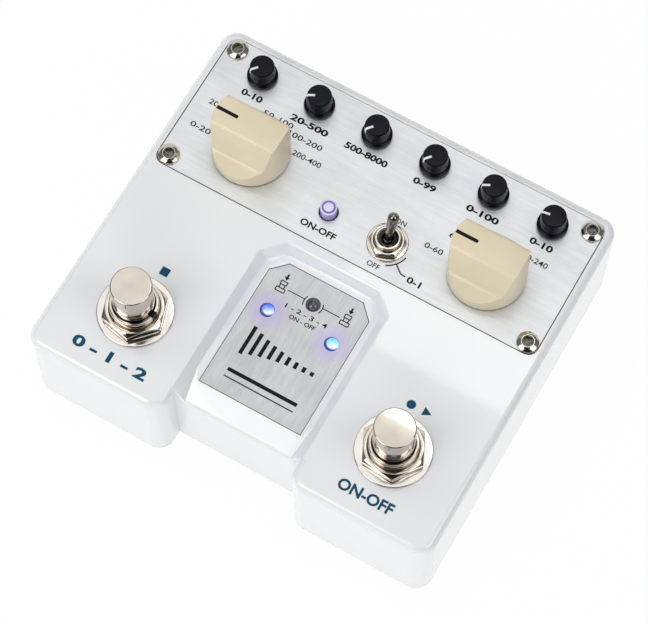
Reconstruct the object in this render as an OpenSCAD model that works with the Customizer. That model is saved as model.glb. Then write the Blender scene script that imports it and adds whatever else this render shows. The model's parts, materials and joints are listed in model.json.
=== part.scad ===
// Digital delay pedal with two footswitches: a U-shaped cast case, a badge plate sunk
// between its legs and a brushed control panel let into the top at the back.
// Millimetres. X runs to the right, Y to the back and Z up. The feet stand on Z = 0.

/* [Case] */
// Width of the case
case_w = 125; // [121:1:140]
// Depth of the case, from the leg fronts to the back wall
case_d = 110.4; // [106:0.2:122]
// Height of the case without its feet
case_h = 35; // [34:0.5:42]
// Thickness of the side walls
wall = 2.4; // [2:0.1:2.8]
// Thickness of the top
top_t = 3; // [2.8:0.1:3.4]
// Radius of the upright corners
corner_r = 5; // [4:0.5:6]
// Radius round the top edges
rim_r = 2.1; // [1.4:0.1:2.2]
// Thickness of the bottom plate
base_t = 1.5; // [1:0.1:2]
// Height of a rubber foot
foot_h = 2; // [1.6:0.2:4]
// Diameter of a rubber foot
foot_d = 10; // [8:0.5:11]

/* [Trough and badge] */
// Clear width between the legs
trough_w = 39.2; // [38:0.2:42]
// How far the centre front lies behind the leg fronts
front_step = 7.7; // [6:0.1:9]
// Cut across each back corner of the trough, measured along its walls
trough_cut = 5.6; // [4.5:0.1:6.5]
// Width of the badge plate
badge_w = 31.4; // [29:0.2:32]
// Thickness of the badge plate
badge_t = 1; // [0.8:0.1:1.4]
// Depth of the badge face below the case top
badge_drop = 3.5; // [3:0.1:4]
// Fall of the bevel in front of the badge
bevel_drop = 2.2; // [1.4:0.1:3]
// Diameter of an indicator lamp
led_d = 3.9; // [3:0.1:4.4]

/* [Control panel] */
// Depth of the control panel, front to back
panel_len = 44.1; // [43:0.1:46]
// Thickness of the control panel
panel_t = 1.5; // [1:0.1:1.6]
// Strip of case left beside and behind the control panel
panel_edge = 2.6; // [2.4:0.1:3.2]
// From the panel's side to the outer small knob
knob_edge = 13.6; // [12.5:0.1:16]
// From the case back to the row of small knobs
knob_row = 9.8; // [9:0.1:11]
// Skirt diameter of a small knob
knob_d = 8.8; // [7.6:0.1:10]
// Height of a small knob
knob_h = 6.2; // [5.4:0.1:9]
// Diameter of a small knob's shaft
shaft_d = 4; // [3:0.1:4.4]
// From the panel's side to a selector
selector_edge = 22.5; // [21:0.1:24]
// From the row of small knobs to the selectors
selector_row = 21.4; // [20:0.1:22]
// Diameter of a selector knob
selector_d = 22.2; // [19:0.1:23]
// Height of a selector knob
selector_h = 17; // [13:0.5:20]
// Width of a selector's grip at its top
grip_w = 8.8; // [6:0.1:11]
// Height of the ridge where a selector's grip meets its shoulders
ridge_h = 7; // [5.5:0.1:8]
// Diameter of a selector's shaft
selector_shaft_d = 6; // [5:0.1:6.4]

/* [Small switches] */
// Distance of the push button and the toggle from the centre line
small_x = 9.3; // [8.6:0.1:11]
// From the row of small knobs to the push button and the toggle
small_row = 27; // [26:0.1:28]
// Diameter of the push button's cap
cap_d = 4.7; // [4:0.1:5.2]
// Height of the push button's cap above the panel
cap_h = 3.3; // [2.6:0.1:4]
// Travel of the push button
cap_travel = 1; // [0.6:0.1:1.2]
// Width across the flats of the toggle's nut
toggle_nut_w = 9.3; // [8.6:0.1:10]
// Outside diameter of the toggle's bushing
toggle_bush_d = 7.5; // [7:0.1:7.8]
// Length of the toggle's lever above its pivot
toggle_len = 11.2; // [9:0.1:13]
// Lean of the toggle's lever to either side
toggle_lean = 17; // [12:1:18]

/* [Footswitches] */
// From the case side to a footswitch
press_edge = 22.4; // [21:0.1:23]
// From the leg front to a footswitch
press_row = 21.8; // [19:0.1:26]
// Diameter of the footswitch's cap
press_d = 11.1; // [10:0.1:11.4]
// Height of the footswitch's cap above the case top
press_h = 18.3; // [14:0.1:20]
// Travel of the footswitch
press_travel = 2.6; // [1.5:0.1:2.8]
// Outside diameter of the footswitch's bushing
press_bush_d = 13.8; // [13.4:0.1:14.2]
// Width across the flats of the footswitch's nut
press_nut_w = 16.3; // [15.6:0.1:17.4]
// Diameter of the footswitch's washer
press_washer_d = 21.3; // [20:0.1:22]

/* [Sockets] */
// Distance between neighbouring jack sockets
jack_pitch = 20; // [18:0.2:22]
// Bore of a jack socket, for a 6.35 mm plug
jack_bore_d = 6.5; // [6.4:0.05:6.7]
// Outside diameter of a jack's threaded nose
jack_nose_d = 9.2; // [8.8:0.1:9.6]
// How far a jack's nose stands out of the back wall
jack_out = 4; // [3.4:0.1:5]
// Width across the flats of a jack's nut
jack_nut_w = 12; // [11.4:0.1:13]
// Bore of the power socket, for a 5.5 mm plug
power_bore_d = 5.7; // [5.6:0.05:5.9]

/* [Hidden] */
$fn = 64;
slack = 0.3;
running = 0.05;
seam = 0.15;
overlap = 1;

// Levels of the case
plate_z = foot_h;
shell_z = foot_h + base_t;
top_z = foot_h + case_h;
roof_z = top_z - top_t;
side_x = case_w / 2;
front_y = -(case_d + jack_out) / 2;
back_y = front_y + case_d;
leg_x = trough_w / 2;
hollow_r = corner_r - wall;

// Control panel and its rows
panel_side = side_x - panel_edge - seam;
panel_back_y = back_y - panel_edge - seam;
panel_front_y = panel_back_y - panel_len;
knob_y = back_y - knob_row;
knob_x = panel_side - knob_edge;
knob_pitch = 2 * knob_x / 5;
selector_x = panel_side - selector_edge;
selector_y = knob_y - selector_row;
small_y = knob_y - small_row;
screw_inset = 3.2;
screw_x = panel_side - screw_inset;
screw_d = 2.9;
screw_head_d = 6.2;
screw_head_h = 2.6;
screw_dome_r = 3.6;
screw_socket_d = 3;
screw_socket_h = 1.7;

// Trough, badge and lamps
trough_back_y = panel_front_y - 3;
centre_front_y = front_y + front_step;
leg_end_y = trough_back_y + 2 * corner_r;
badge_z = top_z - badge_drop;
badge_front_y = centre_front_y + 6.7;
badge_back_y = trough_back_y - 4.5;
badge_cut = trough_cut - 1.4;
ledge_z = top_z - rim_r - 0.1;
ledge_run = 1.2;
floor_z = badge_z - badge_t;
centre_roof_z = floor_z - 2;
led_x = 10.1;
led_y = badge_back_y - 14.8;
middle_led_y = badge_back_y - 7.3;
led_rise = 1.1;

// Boards
board_t = 1.6;
pot_h = 6.5;
board_top_z = roof_z - pot_h - 0.5;
board_z = board_top_z - board_t;
jack_half = 6.5;
jack_z = (shell_z + board_z) / 2;
jack_board_top_z = jack_z - jack_half;
jack_outer_x = side_x - 16.5;
jack_len = 20;
jack_xs = [-jack_outer_x, jack_pitch - jack_outer_x, jack_outer_x - jack_pitch, jack_outer_x];
wall_in_y = back_y - wall;
jack_washer_t = 0.7;
jack_nut_h = 2.3;
jack_nut_y = back_y + jack_washer_t;
power_rim = 1.5;
power_w = 10;
power_h = 12;
power_len = 13;
power_depth = 9;
power_pin_d = 2;
jack_board_front = 4;

// Connectors and cables on the boards
plug_d = 5;
plug_h = 4;
ribbon_plug_w = 16;
press_plug_w = 11;
cable_t = 0.8;

// Columns for the case screws and posts for the control board
column_r = 3.2;
column_ys = [front_y + 7.5, panel_front_y + screw_inset, panel_back_y - screw_inset];
post_xs = [-selector_x - 13, -selector_x + 19, selector_x - 19, selector_x + 13];
post_y = knob_y - 12.5;
post_d = 4.6;
board_screw_d = 2.2;
board_screw_head_d = 4.2;
board_screw_head_h = 1.4;
board_screw_reach = 4.5;

// Footswitch levels
press_x = side_x - press_edge;
press_y = front_y + press_row;
press_washer_t = 0.8;
press_nut_h = 3.3;
press_bush_h = 6.8;
press_body_w = 16.6;
press_body_h = 18;
press_bore_d = press_d + 2 * slack;
press_foot_z = roof_z - 1;
press_seat_z = roof_z - 12;
press_stem_d = 5;
press_stem_z = press_seat_z - 1.5;
press_spare = 0.9;
press_collar_r = 0.45;
nut_turns = [48, 56];
key_turns = [-4, 120];

// Springs
spring_r = 4.1;
spring_wire_r = 0.45;
spring_curls = 6;
spring_rings = 8;
spring_sides = 6;

// Toggle and push button levels
toggle_pivot_z = top_z + 2;
toggle_bush_h = 3.7;
toggle_bore_d = 5;
toggle_ball_r = 2.1;
toggle_washer_t = 0.6;
toggle_nut_h = 1.8;
cap_flange_z = roof_z - slack;
cap_flange_t = 0.8;
button_body_h = 3.4;
cap_floor = 0.6;
cap_spare = 0.6;
cap_stem_z = board_top_z + cap_floor + cap_travel + cap_spare;
cap_stem_d = 3;
knob_gap = 0.5;

// Selector switch, and its knob's outer wall in front of a shoulder
selector_body_w = 13;
selector_body_h = 5;
grip_draft = 1;
shoulder_h = 3.2;
shoulder_run = 3.25;

// Where the pointers stand, counted from +X towards +Y
pot_turns = [229, 208, 230, 230, 208, 189];
selector_turn = 180;

// Shared shapes

module both_sides() {
    children();
    mirror([1, 0, 0]) children();
}

// Flat rectangle with round corners
module round_rect(x0, x1, y0, y1, r) {
    translate([x0 + r, y0]) square([x1 - x0 - 2 * r, y1 - y0]);
    translate([x0, y0 + r]) square([x1 - x0, y1 - y0 - 2 * r]);
    for (x = [x0 + r, x1 - r], y = [y0 + r, y1 - r])
        translate([x, y]) circle(r);
}

// Flat section from a to b whose two top corners are round
module round_top(a, b, h) {
    translate([a, 0]) square([b - a, h - rim_r]);
    translate([a + rim_r, 0]) square([b - a - 2 * rim_r, h]);
    for (x = [a + rim_r, b - rim_r])
        translate([x, h - rim_r]) circle(rim_r);
}

// Draws a flat (Y, Z) section along X
module along_x(x0, x1) {
    translate([x0, 0, 0]) rotate([90, 0, 90]) linear_extrude(x1 - x0) children();
}

// Block with a round top edge, standing on the shell's lower edge. Its upright corners,
// counted from the back right one, are round where they are listed
module soft_block(x0, x1, y0, y1, corners) {
    h = top_z - shell_z;
    translate([0, 0, shell_z]) {
        translate([0, y1 - corner_r, 0]) rotate([90, 0, 0])
            linear_extrude(y1 - y0 - 2 * corner_r) round_top(x0, x1, h);
        along_x(x0 + corner_r, x1 - corner_r) round_top(y0, y1, h);
        for (i = corners)
            translate([i == 1 || i == 2 ? x0 + corner_r : x1 - corner_r,
                    i < 2 ? y1 - corner_r : y0 + corner_r, 0])
                rotate(90 * i) rotate_extrude(angle = 90) {
                    square([corner_r - rim_r, h]);
                    square([corner_r, h - rim_r]);
                    translate([corner_r - rim_r, h - rim_r]) circle(rim_r);
                }
    }
}

module box(x, y, z, size) {
    translate([x - size[0] / 2, y - size[1] / 2, z]) cube(size);
}

module rod(x, y, z0, z1, d) {
    translate([x, y, z0]) cylinder(h = z1 - z0, d = d);
}

// Hex nut whose upper corners are turned off
module nut(w, h, hole, turn) {
    difference() {
        intersection() {
            rotate(turn) cylinder(h = h, d = w / cos(30), $fn = 6);
            cylinder(h = h, d1 = w * 1.32, d2 = w * 1.04);
        }
        translate([0, 0, -overlap]) cylinder(h = h + 2 * overlap, d = hole);
    }
}

// Turned rod with a round upper edge
module soft_rod(x, y, z0, z1, d, r) {
    translate([x, y, z0]) rotate_extrude() {
        square([d / 2 - r, z1 - z0]);
        square([d / 2, z1 - z0 - r]);
        translate([d / 2 - r, z1 - z0 - r]) intersection() {
            circle(r);
            square(r);
        }
    }
}

// Case

// Badge outline, grown by a margin
module badge_outline(grow) {
    half = badge_w / 2 + grow;
    back = badge_back_y + grow;
    front = badge_front_y - grow;
    polygon([[-half, front], [half, front], [half, back - badge_cut],
        [half - badge_cut, back], [badge_cut - half, back], [-half, back - badge_cut]]);
}

// Section of the middle of the case: front face, bevel and the ledge round the badge
module centre_section() {
    bevel_run = badge_front_y - centre_front_y;
    lean = atan(bevel_drop / bevel_run);
    edge_r = 1.4;
    cut = edge_r / tan(45 + lean / 2);
    edge_z = badge_z - bevel_drop;
    ledge_y = badge_front_y + (ledge_z - badge_z) * bevel_run / bevel_drop;
    end_y = trough_back_y + overlap;
    polygon([[centre_front_y, shell_z], [centre_front_y, edge_z - cut],
        [centre_front_y + cut * cos(lean), edge_z + cut * sin(lean)],
        [ledge_y, ledge_z], [end_y, ledge_z], [end_y, shell_z]]);
    translate([centre_front_y + edge_r, edge_z - cut]) circle(edge_r);
}

// Bar across a back corner of the trough, with a round top edge in front
module corner_bar() {
    h = top_z - shell_z;
    depth = 12;
    half = trough_cut / sqrt(2) + corner_r;
    translate([leg_x - trough_cut / 2, trough_back_y - trough_cut / 2, shell_z]) rotate(-45)
        along_x(-half, half) {
            translate([rim_r, 0]) square([depth - rim_r, h]);
            square([depth, h - rim_r]);
            translate([rim_r, h - rim_r]) circle(rim_r);
        }
}

module case_body() {
    both_sides() {
        soft_block(leg_x, side_x, front_y, leg_end_y, [2, 3]);
        corner_bar();
    }
    soft_block(-side_x, side_x, trough_back_y, back_y, [0, 1]);
    along_x(-leg_x - overlap, leg_x + overlap) centre_section();
}

module case_hollow() {
    start = shell_z - overlap;
    translate([0, 0, start]) linear_extrude(roof_z - start) {
        both_sides() round_rect(leg_x + wall, side_x - wall, front_y + wall, leg_end_y, hollow_r);
        round_rect(wall - side_x, side_x - wall, trough_back_y + wall, wall_in_y, hollow_r);
    }
    translate([0, 0, start]) linear_extrude(centre_roof_z - start)
        round_rect(-leg_x - wall - 2, leg_x + wall + 2, centre_front_y + wall,
            trough_back_y + wall + 2, 1);
}

// Sunk place for the badge, with a bevel down from the ledge
module badge_pocket() {
    translate([0, 0, floor_z]) linear_extrude(badge_t + overlap) badge_outline(seam);
    hull() {
        translate([0, 0, badge_z]) linear_extrude(0.01) badge_outline(seam);
        translate([0, 0, ledge_z]) linear_extrude(0.01) badge_outline(seam + ledge_run);
    }
}

module panel_place() {
    translate([0, 0, top_z - panel_t]) linear_extrude(panel_t + overlap)
        round_rect(-panel_side - seam, panel_side + seam, panel_front_y - seam,
            panel_back_y + seam, screw_inset + seam);
}

// Holes through the top for the controls, shared by the case and the panel
module control_holes(z0, z1) {
    for (i = [0:5])
        rod(-knob_x + i * knob_pitch, knob_y, z0, z1, shaft_d + 1.4);
    for (x = [-selector_x, selector_x])
        rod(x, selector_y, z0, z1, selector_shaft_d + 1.4);
    rod(-small_x, small_y, z0, z1, cap_d + 1);
    rod(small_x, small_y, z0, z1, toggle_bush_d + 0.3);
}

module case_holes() {
    control_holes(roof_z - overlap, top_z);
    for (x = [-press_x, press_x])
        rod(x, press_y, roof_z - overlap, top_z + overlap, press_bush_d + 0.3);
    lamp_holes(centre_roof_z - overlap, badge_z);
    for (x = [-screw_x, screw_x], y = column_ys)
        rod(x, y, shell_z - overlap, shell_z + 10, screw_d);
    for (x = [-screw_x, screw_x], y = [column_ys[1], column_ys[2]])
        rod(x, y, top_z - panel_t - 9, top_z, screw_d);
    for (x = post_xs)
        rod(x, post_y, board_top_z - overlap, board_top_z + board_screw_reach + 0.5,
            board_screw_d);
    for (x = jack_xs)
        translate([x, back_y + overlap, jack_z]) rotate([90, 0, 0])
            cylinder(h = wall + 2 * overlap, d = jack_nose_d + 0.3);
    translate([0, back_y + overlap, jack_z]) rotate([90, 0, 0])
        cylinder(h = wall + 2 * overlap, d = power_bore_d + 2 * power_rim + 0.3);
}

module lamp_holes(z0, z1) {
    for (x = [-led_x, led_x])
        rod(x, led_y, z0, z1, led_d + 0.3);
    rod(0, middle_led_y, z0, z1, led_d + 0.3);
}

// What is left standing in the hollow: screw columns and the posts of the control board
module case_columns() {
    for (x = [-screw_x, screw_x], y = column_ys)
        rod(x, y, shell_z - 2 * overlap, roof_z + overlap, 2 * column_r);
    for (x = post_xs)
        rod(x, post_y, board_top_z, roof_z + overlap, post_d);
}

module enclosure_shell() {
    color("white") difference() {
        case_body();
        difference() {
            case_hollow();
            case_columns();
        }
        badge_pocket();
        panel_place();
        case_holes();
    }
}

module bottom_plate() {
    inset = 0.4;
    r = corner_r - inset;
    color("silver") translate([0, 0, plate_z]) difference() {
        linear_extrude(base_t) {
            both_sides() round_rect(leg_x + inset, side_x - inset, front_y + inset, leg_end_y, r);
            round_rect(inset - side_x, side_x - inset, centre_front_y + 2 * r, back_y - inset, r);
            round_rect(-leg_x - wall - r, leg_x + wall + r, centre_front_y + inset,
                leg_end_y, 1);
        }
        for (x = [-screw_x, screw_x], y = column_ys)
            rod(x, y, -overlap, base_t + overlap, screw_d);
    }
}

module bottom_screws() {
    color("gray") for (x = [-screw_x, screw_x], y = column_ys) {
        translate([x, y, plate_z - 1.2]) cylinder(h = 0.5, d1 = 4.4, d2 = 5.4);
        rod(x, y, plate_z - 0.7, plate_z, 5.4);
        rod(x, y, plate_z - 1, shell_z + 8, screw_d);
    }
}

module rubber_feet() {
    r = foot_d / 2;
    color("black") for (x = [-1, 1], y = [front_y + 19, back_y - 16])
        translate([x * (side_x - 12), y, 0]) rotate_extrude()
            polygon([[0, 0], [r - 0.9, 0], [r - 0.4, 0.4], [r, plate_z], [0, plate_z]]);
}

module control_panel() {
    z = top_z - panel_t;
    color("lightgray") difference() {
        translate([0, 0, z]) linear_extrude(panel_t)
            round_rect(-panel_side, panel_side, panel_front_y, panel_back_y, screw_inset);
        control_holes(z - overlap, top_z + overlap);
        for (x = [-screw_x, screw_x], y = [column_ys[1], column_ys[2]])
            rod(x, y, z - overlap, top_z + overlap, screw_d + 0.3);
    }
}

module panel_screws() {
    r = screw_head_d / 2;
    color("silver") for (x = [-screw_x, screw_x], y = [column_ys[1], column_ys[2]])
        translate([x, y, top_z]) difference() {
            union() {
                translate([0, 0, -8]) cylinder(h = 8.5, d = screw_d);
                intersection() {
                    cylinder(h = screw_head_h, r = r);
                    translate([0, 0, screw_head_h - screw_dome_r]) sphere(screw_dome_r);
                }
            }
            translate([0, 0, screw_head_h - screw_socket_h])
                cylinder(h = screw_socket_h + overlap, d = screw_socket_d, $fn = 6);
        }
}

module badge_plate() {
    color("lightgray") difference() {
        translate([0, 0, floor_z]) linear_extrude(badge_t) badge_outline(0);
        lamp_holes(floor_z - overlap, badge_z + overlap);
    }
}

// Lamp with a flange on the board and a low dome above the badge
module lamp(x, y) {
    dome_r = led_d * 0.62;
    tip_z = badge_z + led_rise;
    rod(x, y, board_top_z, board_top_z + 1, led_d + 0.8);
    intersection() {
        rod(x, y, board_top_z, tip_z, led_d);
        union() {
            rod(x, y, board_top_z, badge_z - 0.6, led_d);
            translate([x, y, tip_z - dome_r]) sphere(dome_r);
        }
    }
}

module status_led_left() { color("blue") lamp(-led_x, led_y); }
module status_led_right() { color("blue") lamp(led_x, led_y); }
module preset_led() { color("black") lamp(0, middle_led_y); }

// Boards and cables

module control_board() {
    edge = wall + 0.8;
    color("green") difference() {
        translate([0, 0, board_z]) linear_extrude(board_t) {
            round_rect(edge - side_x, side_x - edge, trough_back_y + edge, back_y - edge, 2);
            round_rect(-led_x - 6, led_x + 6, led_y - 6, trough_back_y + edge + 6, 2);
        }
        for (x = [-screw_x, screw_x], y = [column_ys[1], column_ys[2]])
            rod(x, y, board_z - overlap, board_top_z + overlap, 2 * column_r + 1);
        for (x = post_xs)
            rod(x, post_y, board_z - overlap, board_top_z + overlap, board_screw_d);
    }
    color("white") box(0, small_y + plug_d, board_z - plug_h, [ribbon_plug_w, plug_d, plug_h]);
    color("white") for (x = [-press_x, press_x])
        box(x, panel_front_y + plug_d, board_z - plug_h, [press_plug_w, plug_d, plug_h]);
}

module board_screws() {
    color("gray") for (x = post_xs) {
        rod(x, post_y, board_z - board_screw_head_h, board_z, board_screw_head_d);
        rod(x, post_y, board_z - overlap, board_top_z + board_screw_reach, board_screw_d);
    }
}

module jack_board() {
    half = jack_outer_x + jack_half;
    color("green") translate([-half, wall_in_y - jack_len - jack_board_front,
            jack_board_top_z - board_t])
        cube([2 * half, jack_len + jack_board_front - overlap, board_t]);
    color("white") box(0, wall_in_y - jack_len - 1, jack_board_top_z,
        [ribbon_plug_w, plug_d, plug_h]);
}

// Flat cable that drops from the control board and turns back to the jack board
module ribbon_cable() {
    start_y = small_y + plug_d;
    end_y = wall_in_y - jack_len - 1;
    high_z = board_z - plug_h;
    low_z = jack_board_top_z + plug_h;
    thick = cable_t;
    mid_z = low_z + 2;
    half = ribbon_plug_w / 2 - 1;
    color("gray") along_x(-half, half) polygon([[start_y, high_z], [start_y + thick, high_z],
        [start_y + thick, mid_z + thick], [end_y + thick, mid_z + thick],
        [end_y + thick, low_z], [end_y, low_z], [end_y, mid_z], [start_y, mid_z]]);
}

module footswitch_cables() {
    start_y = press_y + 3;
    end_y = panel_front_y + plug_d;
    low_z = roof_z - press_body_h - 5;
    high_z = board_z - plug_h;
    thick = cable_t;
    half = press_plug_w / 2 - 1.5;
    color("gray") for (x = [-press_x, press_x])
        along_x(x - half, x + half) polygon([[start_y - 6, low_z], [end_y + thick, low_z],
            [end_y + thick, high_z], [end_y, high_z], [end_y, low_z + thick],
            [start_y - 6, low_z + thick]]);
}

// Footswitches

module press_housing(x) {
    body_z = roof_z - press_body_h;
    color("silver") difference() {
        union() {
            box(x, press_y, body_z, [press_body_w, press_body_w, press_body_h]);
            soft_rod(x, press_y, roof_z - overlap, top_z + press_bush_h, press_bush_d,
                press_collar_r);
            for (dx = [-4, 0, 4], dy = [-4, 4])
                box(x + dx, press_y + dy, body_z - 4.2, [2, 0.8, 5]);
        }
        rod(x, press_y, press_seat_z, top_z + press_bush_h + overlap, press_bore_d);
        rod(x, press_y, press_stem_z - press_travel - press_spare, press_seat_z + overlap,
            press_stem_d + 2 * running);
        translate([x, press_y, top_z + press_washer_t + press_nut_h])
            rotate(key_turns[x < 0 ? 0 : 1])
            translate([press_bore_d / 2 - 0.5, -0.8, 0]) cube([3, 1.6, press_bush_h]);
    }
}

module press_washer(x) {
    color("silver") difference() {
        rod(x, press_y, top_z, top_z + press_washer_t, press_washer_d);
        rod(x, press_y, top_z - overlap, top_z + overlap, press_bush_d);
    }
}

module press_nut(x) {
    color("silver") translate([x, press_y, top_z + press_washer_t])
        nut(press_nut_w, press_nut_h, press_bush_d, nut_turns[x < 0 ? 0 : 1]);
}

// One unbroken wire wound as a helix, its ends turned to Z0 and Z1
module coil(z0, z1) {
    count = spring_curls * spring_rings;
    rise = (z1 - z0 - 2 * spring_wire_r) / count;
    points = [for (i = [0:count], k = [0:spring_sides - 1])
        let (turn = 360 * i / spring_rings, side = 360 * k / spring_sides,
            out = spring_r + spring_wire_r * cos(side))
        [out * cos(turn), out * sin(turn),
            z0 + spring_wire_r + rise * i + spring_wire_r * sin(side)]];
    skin = [for (i = [0:count - 1], k = [0:spring_sides - 1])
        let (a = i * spring_sides + k, b = i * spring_sides + (k + 1) % spring_sides)
        each [[a, b, a + spring_sides], [b, b + spring_sides, a + spring_sides]]];
    first = [for (k = [1:spring_sides - 2]) [0, k + 1, k]];
    last_ring = count * spring_sides;
    last = [for (k = [1:spring_sides - 2]) [last_ring, last_ring + k, last_ring + k + 1]];
    polyhedron(points, concat(skin, first, last), convexity = 10);
}

module press_spring(x) {
    color("silver") translate([x, press_y, 0]) coil(press_seat_z, press_foot_z);
}

module press_button(x) {
    edge = 0.5;
    z1 = top_z + press_h;
    color("silver") {
        rod(x, press_y, press_foot_z, z1 - edge, press_d);
        translate([x, press_y, z1 - edge])
            cylinder(h = edge, d1 = press_d, d2 = press_d - 2 * edge);
        rod(x, press_y, press_stem_z, press_foot_z + overlap, press_stem_d);
    }
}

module footswitch_left_housing() { press_housing(-press_x); }
module footswitch_left_washer() { press_washer(-press_x); }
module footswitch_left_nut() { press_nut(-press_x); }
module footswitch_left_spring() { press_spring(-press_x); }
module footswitch_left_button() { press_button(-press_x); }
module footswitch_right_housing() { press_housing(press_x); }
module footswitch_right_washer() { press_washer(press_x); }
module footswitch_right_nut() { press_nut(press_x); }
module footswitch_right_spring() { press_spring(press_x); }
module footswitch_right_button() { press_button(press_x); }

// Toggle switch

module toggle_housing() {
    color("silver") difference() {
        union() {
            box(small_x, small_y, board_top_z, [8.6, 13, roof_z - board_top_z]);
            soft_rod(small_x, small_y, roof_z - overlap, top_z + toggle_bush_h, toggle_bush_d, 0.4);
        }
        rod(small_x, small_y, board_top_z + 1.4, top_z + toggle_bush_h + overlap, toggle_bore_d);
    }
}

module toggle_washer() {
    color("silver") difference() {
        rod(small_x, small_y, top_z, top_z + toggle_washer_t, toggle_nut_w + 2.4);
        rod(small_x, small_y, top_z - overlap, top_z + overlap, toggle_bush_d);
    }
}

module toggle_nut() {
    color("silver") translate([small_x, small_y, top_z + toggle_washer_t])
        nut(toggle_nut_w, toggle_nut_h, toggle_bush_d, 20);
}

module toggle_lever() {
    tip_r = 1.6;
    color("silver") translate([small_x, small_y, toggle_pivot_z]) rotate([-toggle_lean, 0, 0]) {
        sphere(toggle_ball_r);
        cylinder(h = toggle_len - tip_r, r1 = 1.2, r2 = tip_r);
        translate([0, 0, toggle_len - tip_r]) sphere(tip_r);
        translate([0, 0, -5]) cylinder(h = 5, r = 0.8);
    }
}

// Push button

module stereo_button_body() {
    color("black") difference() {
        box(-small_x, small_y, board_top_z, [7, 7, button_body_h]);
        rod(-small_x, small_y, board_top_z + cap_floor, roof_z, cap_stem_d + 2 * running);
    }
}

module stereo_button_cap() {
    z1 = top_z + cap_h;
    edge = 0.4;
    ring_r = cap_d * 0.36;
    ring_w = 0.5;
    color("lavender") difference() {
        union() {
            rod(-small_x, small_y, cap_flange_z - cap_flange_t, cap_flange_z, cap_d + 2);
            rod(-small_x, small_y, cap_flange_z - overlap / 2, z1 - edge, cap_d);
            translate([-small_x, small_y, z1 - edge])
                cylinder(h = edge, d1 = cap_d, d2 = cap_d - 2 * edge);
            rod(-small_x, small_y, cap_stem_z, cap_flange_z - overlap / 2, cap_stem_d);
        }
        translate([-small_x, small_y, z1 - edge]) rotate_extrude()
            translate([ring_r - ring_w / 2, 0]) square([ring_w, edge + overlap]);
    }
}

// Small knobs

module pot(i) {
    x = -knob_x + i * knob_pitch;
    color("gray") difference() {
        union() {
            box(x, knob_y, board_top_z, [9.6, 9.8, 4.6]);
            rod(x, knob_y, board_top_z, board_top_z + pot_h, 8.4);
        }
        rod(x, knob_y, board_top_z + 1.2, roof_z, shaft_d + 2 * running);
    }
}

module pot_shaft(i) {
    x = -knob_x + i * knob_pitch;
    color("silver") rod(x, knob_y, board_top_z + 1.5, top_z + knob_gap + knob_h - 1.4, shaft_d);
}

module pot_knob(i) {
    x = -knob_x + i * knob_pitch;
    skirt = knob_d / 2;
    bore = shaft_d / 2;
    color("black") translate([x, knob_y, top_z + knob_gap]) rotate(pot_turns[i]) difference() {
        rotate_extrude() polygon([[bore, 0], [skirt, 0], [skirt, 1], [skirt * 0.85, 1.3],
            [skirt * 0.79, knob_h - 0.3], [skirt * 0.79 - 0.3, knob_h], [0, knob_h],
            [0, knob_h - 1.4], [bore, knob_h - 1.4]]);
        translate([0.8, -0.3, knob_h - 0.3]) cube([skirt, 0.6, 1]);
    }
}

module dry_pot() { pot(0); }
module dry_shaft() { pot_shaft(0); }
module dry_knob() { pot_knob(0); }
module low_cut_pot() { pot(1); }
module low_cut_shaft() { pot_shaft(1); }
module low_cut_knob() { pot_knob(1); }
module high_cut_pot() { pot(2); }
module high_cut_shaft() { pot_shaft(2); }
module high_cut_knob() { pot_knob(2); }
module time_pot() { pot(3); }
module time_shaft() { pot_shaft(3); }
module time_knob() { pot_knob(3); }
module feedback_pot() { pot(4); }
module feedback_shaft() { pot_shaft(4); }
module feedback_knob() { pot_knob(4); }
module wet_pot() { pot(5); }
module wet_shaft() { pot_shaft(5); }
module wet_knob() { pot_knob(5); }

// Selectors

module selector_body(x) {
    color("gray") difference() {
        union() {
            box(x, selector_y, board_top_z, [selector_body_w, selector_body_w, selector_body_h]);
            rod(x, selector_y, board_top_z, board_top_z + pot_h, 9.4);
        }
        rod(x, selector_y, board_top_z + 1.2, roof_z, selector_shaft_d + 2 * running);
    }
}

module selector_shaft(x) {
    color("silver") rod(x, selector_y, board_top_z + 1.5,
        top_z + knob_gap + selector_h - 5, selector_shaft_d);
}

// Section of a selector knob across its grip: steep sides over two flat shoulders
module selector_section() {
    r = selector_d / 2;
    half = grip_w / 2;
    ridge = r - shoulder_run;
    right = [[r, 0], [r, shoulder_h], [ridge, ridge_h], [half + 0.5, selector_h - 2],
        [half, selector_h - 0.8], [half - 0.8, selector_h]];
    polygon(concat(right, [for (i = [len(right) - 1:-1:0]) [-right[i][0], right[i][1]]]));
}

module selector_knob(x) {
    r = selector_d / 2;
    color("wheat") translate([x, selector_y, top_z + knob_gap]) rotate(selector_turn)
        difference() {
            intersection() {
                along_x(-r, r) selector_section();
                rotate_extrude() polygon([[0, 0], [r, 0], [r, ridge_h], [r - grip_draft, selector_h],
                    [0, selector_h]]);
            }
            translate([0, 0, -overlap]) cylinder(h = selector_h - 5 + overlap, d = selector_shaft_d);
            translate([r * 0.33, -0.5, selector_h - 0.3]) cube([r, 1, 1]);
        }
}

module type_selector_body() { selector_body(-selector_x); }
module type_selector_shaft() { selector_shaft(-selector_x); }
module type_selector_knob() { selector_knob(-selector_x); }
module mode_selector_body() { selector_body(selector_x); }
module mode_selector_shaft() { selector_shaft(selector_x); }
module mode_selector_knob() { selector_knob(selector_x); }

// Sockets in the back wall

// Cylinder along Y that ends at y1
module back_rod(x, y0, y1, d, z = jack_z) {
    translate([x, y1, z]) rotate([90, 0, 0]) cylinder(h = y1 - y0, d = d);
}

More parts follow.
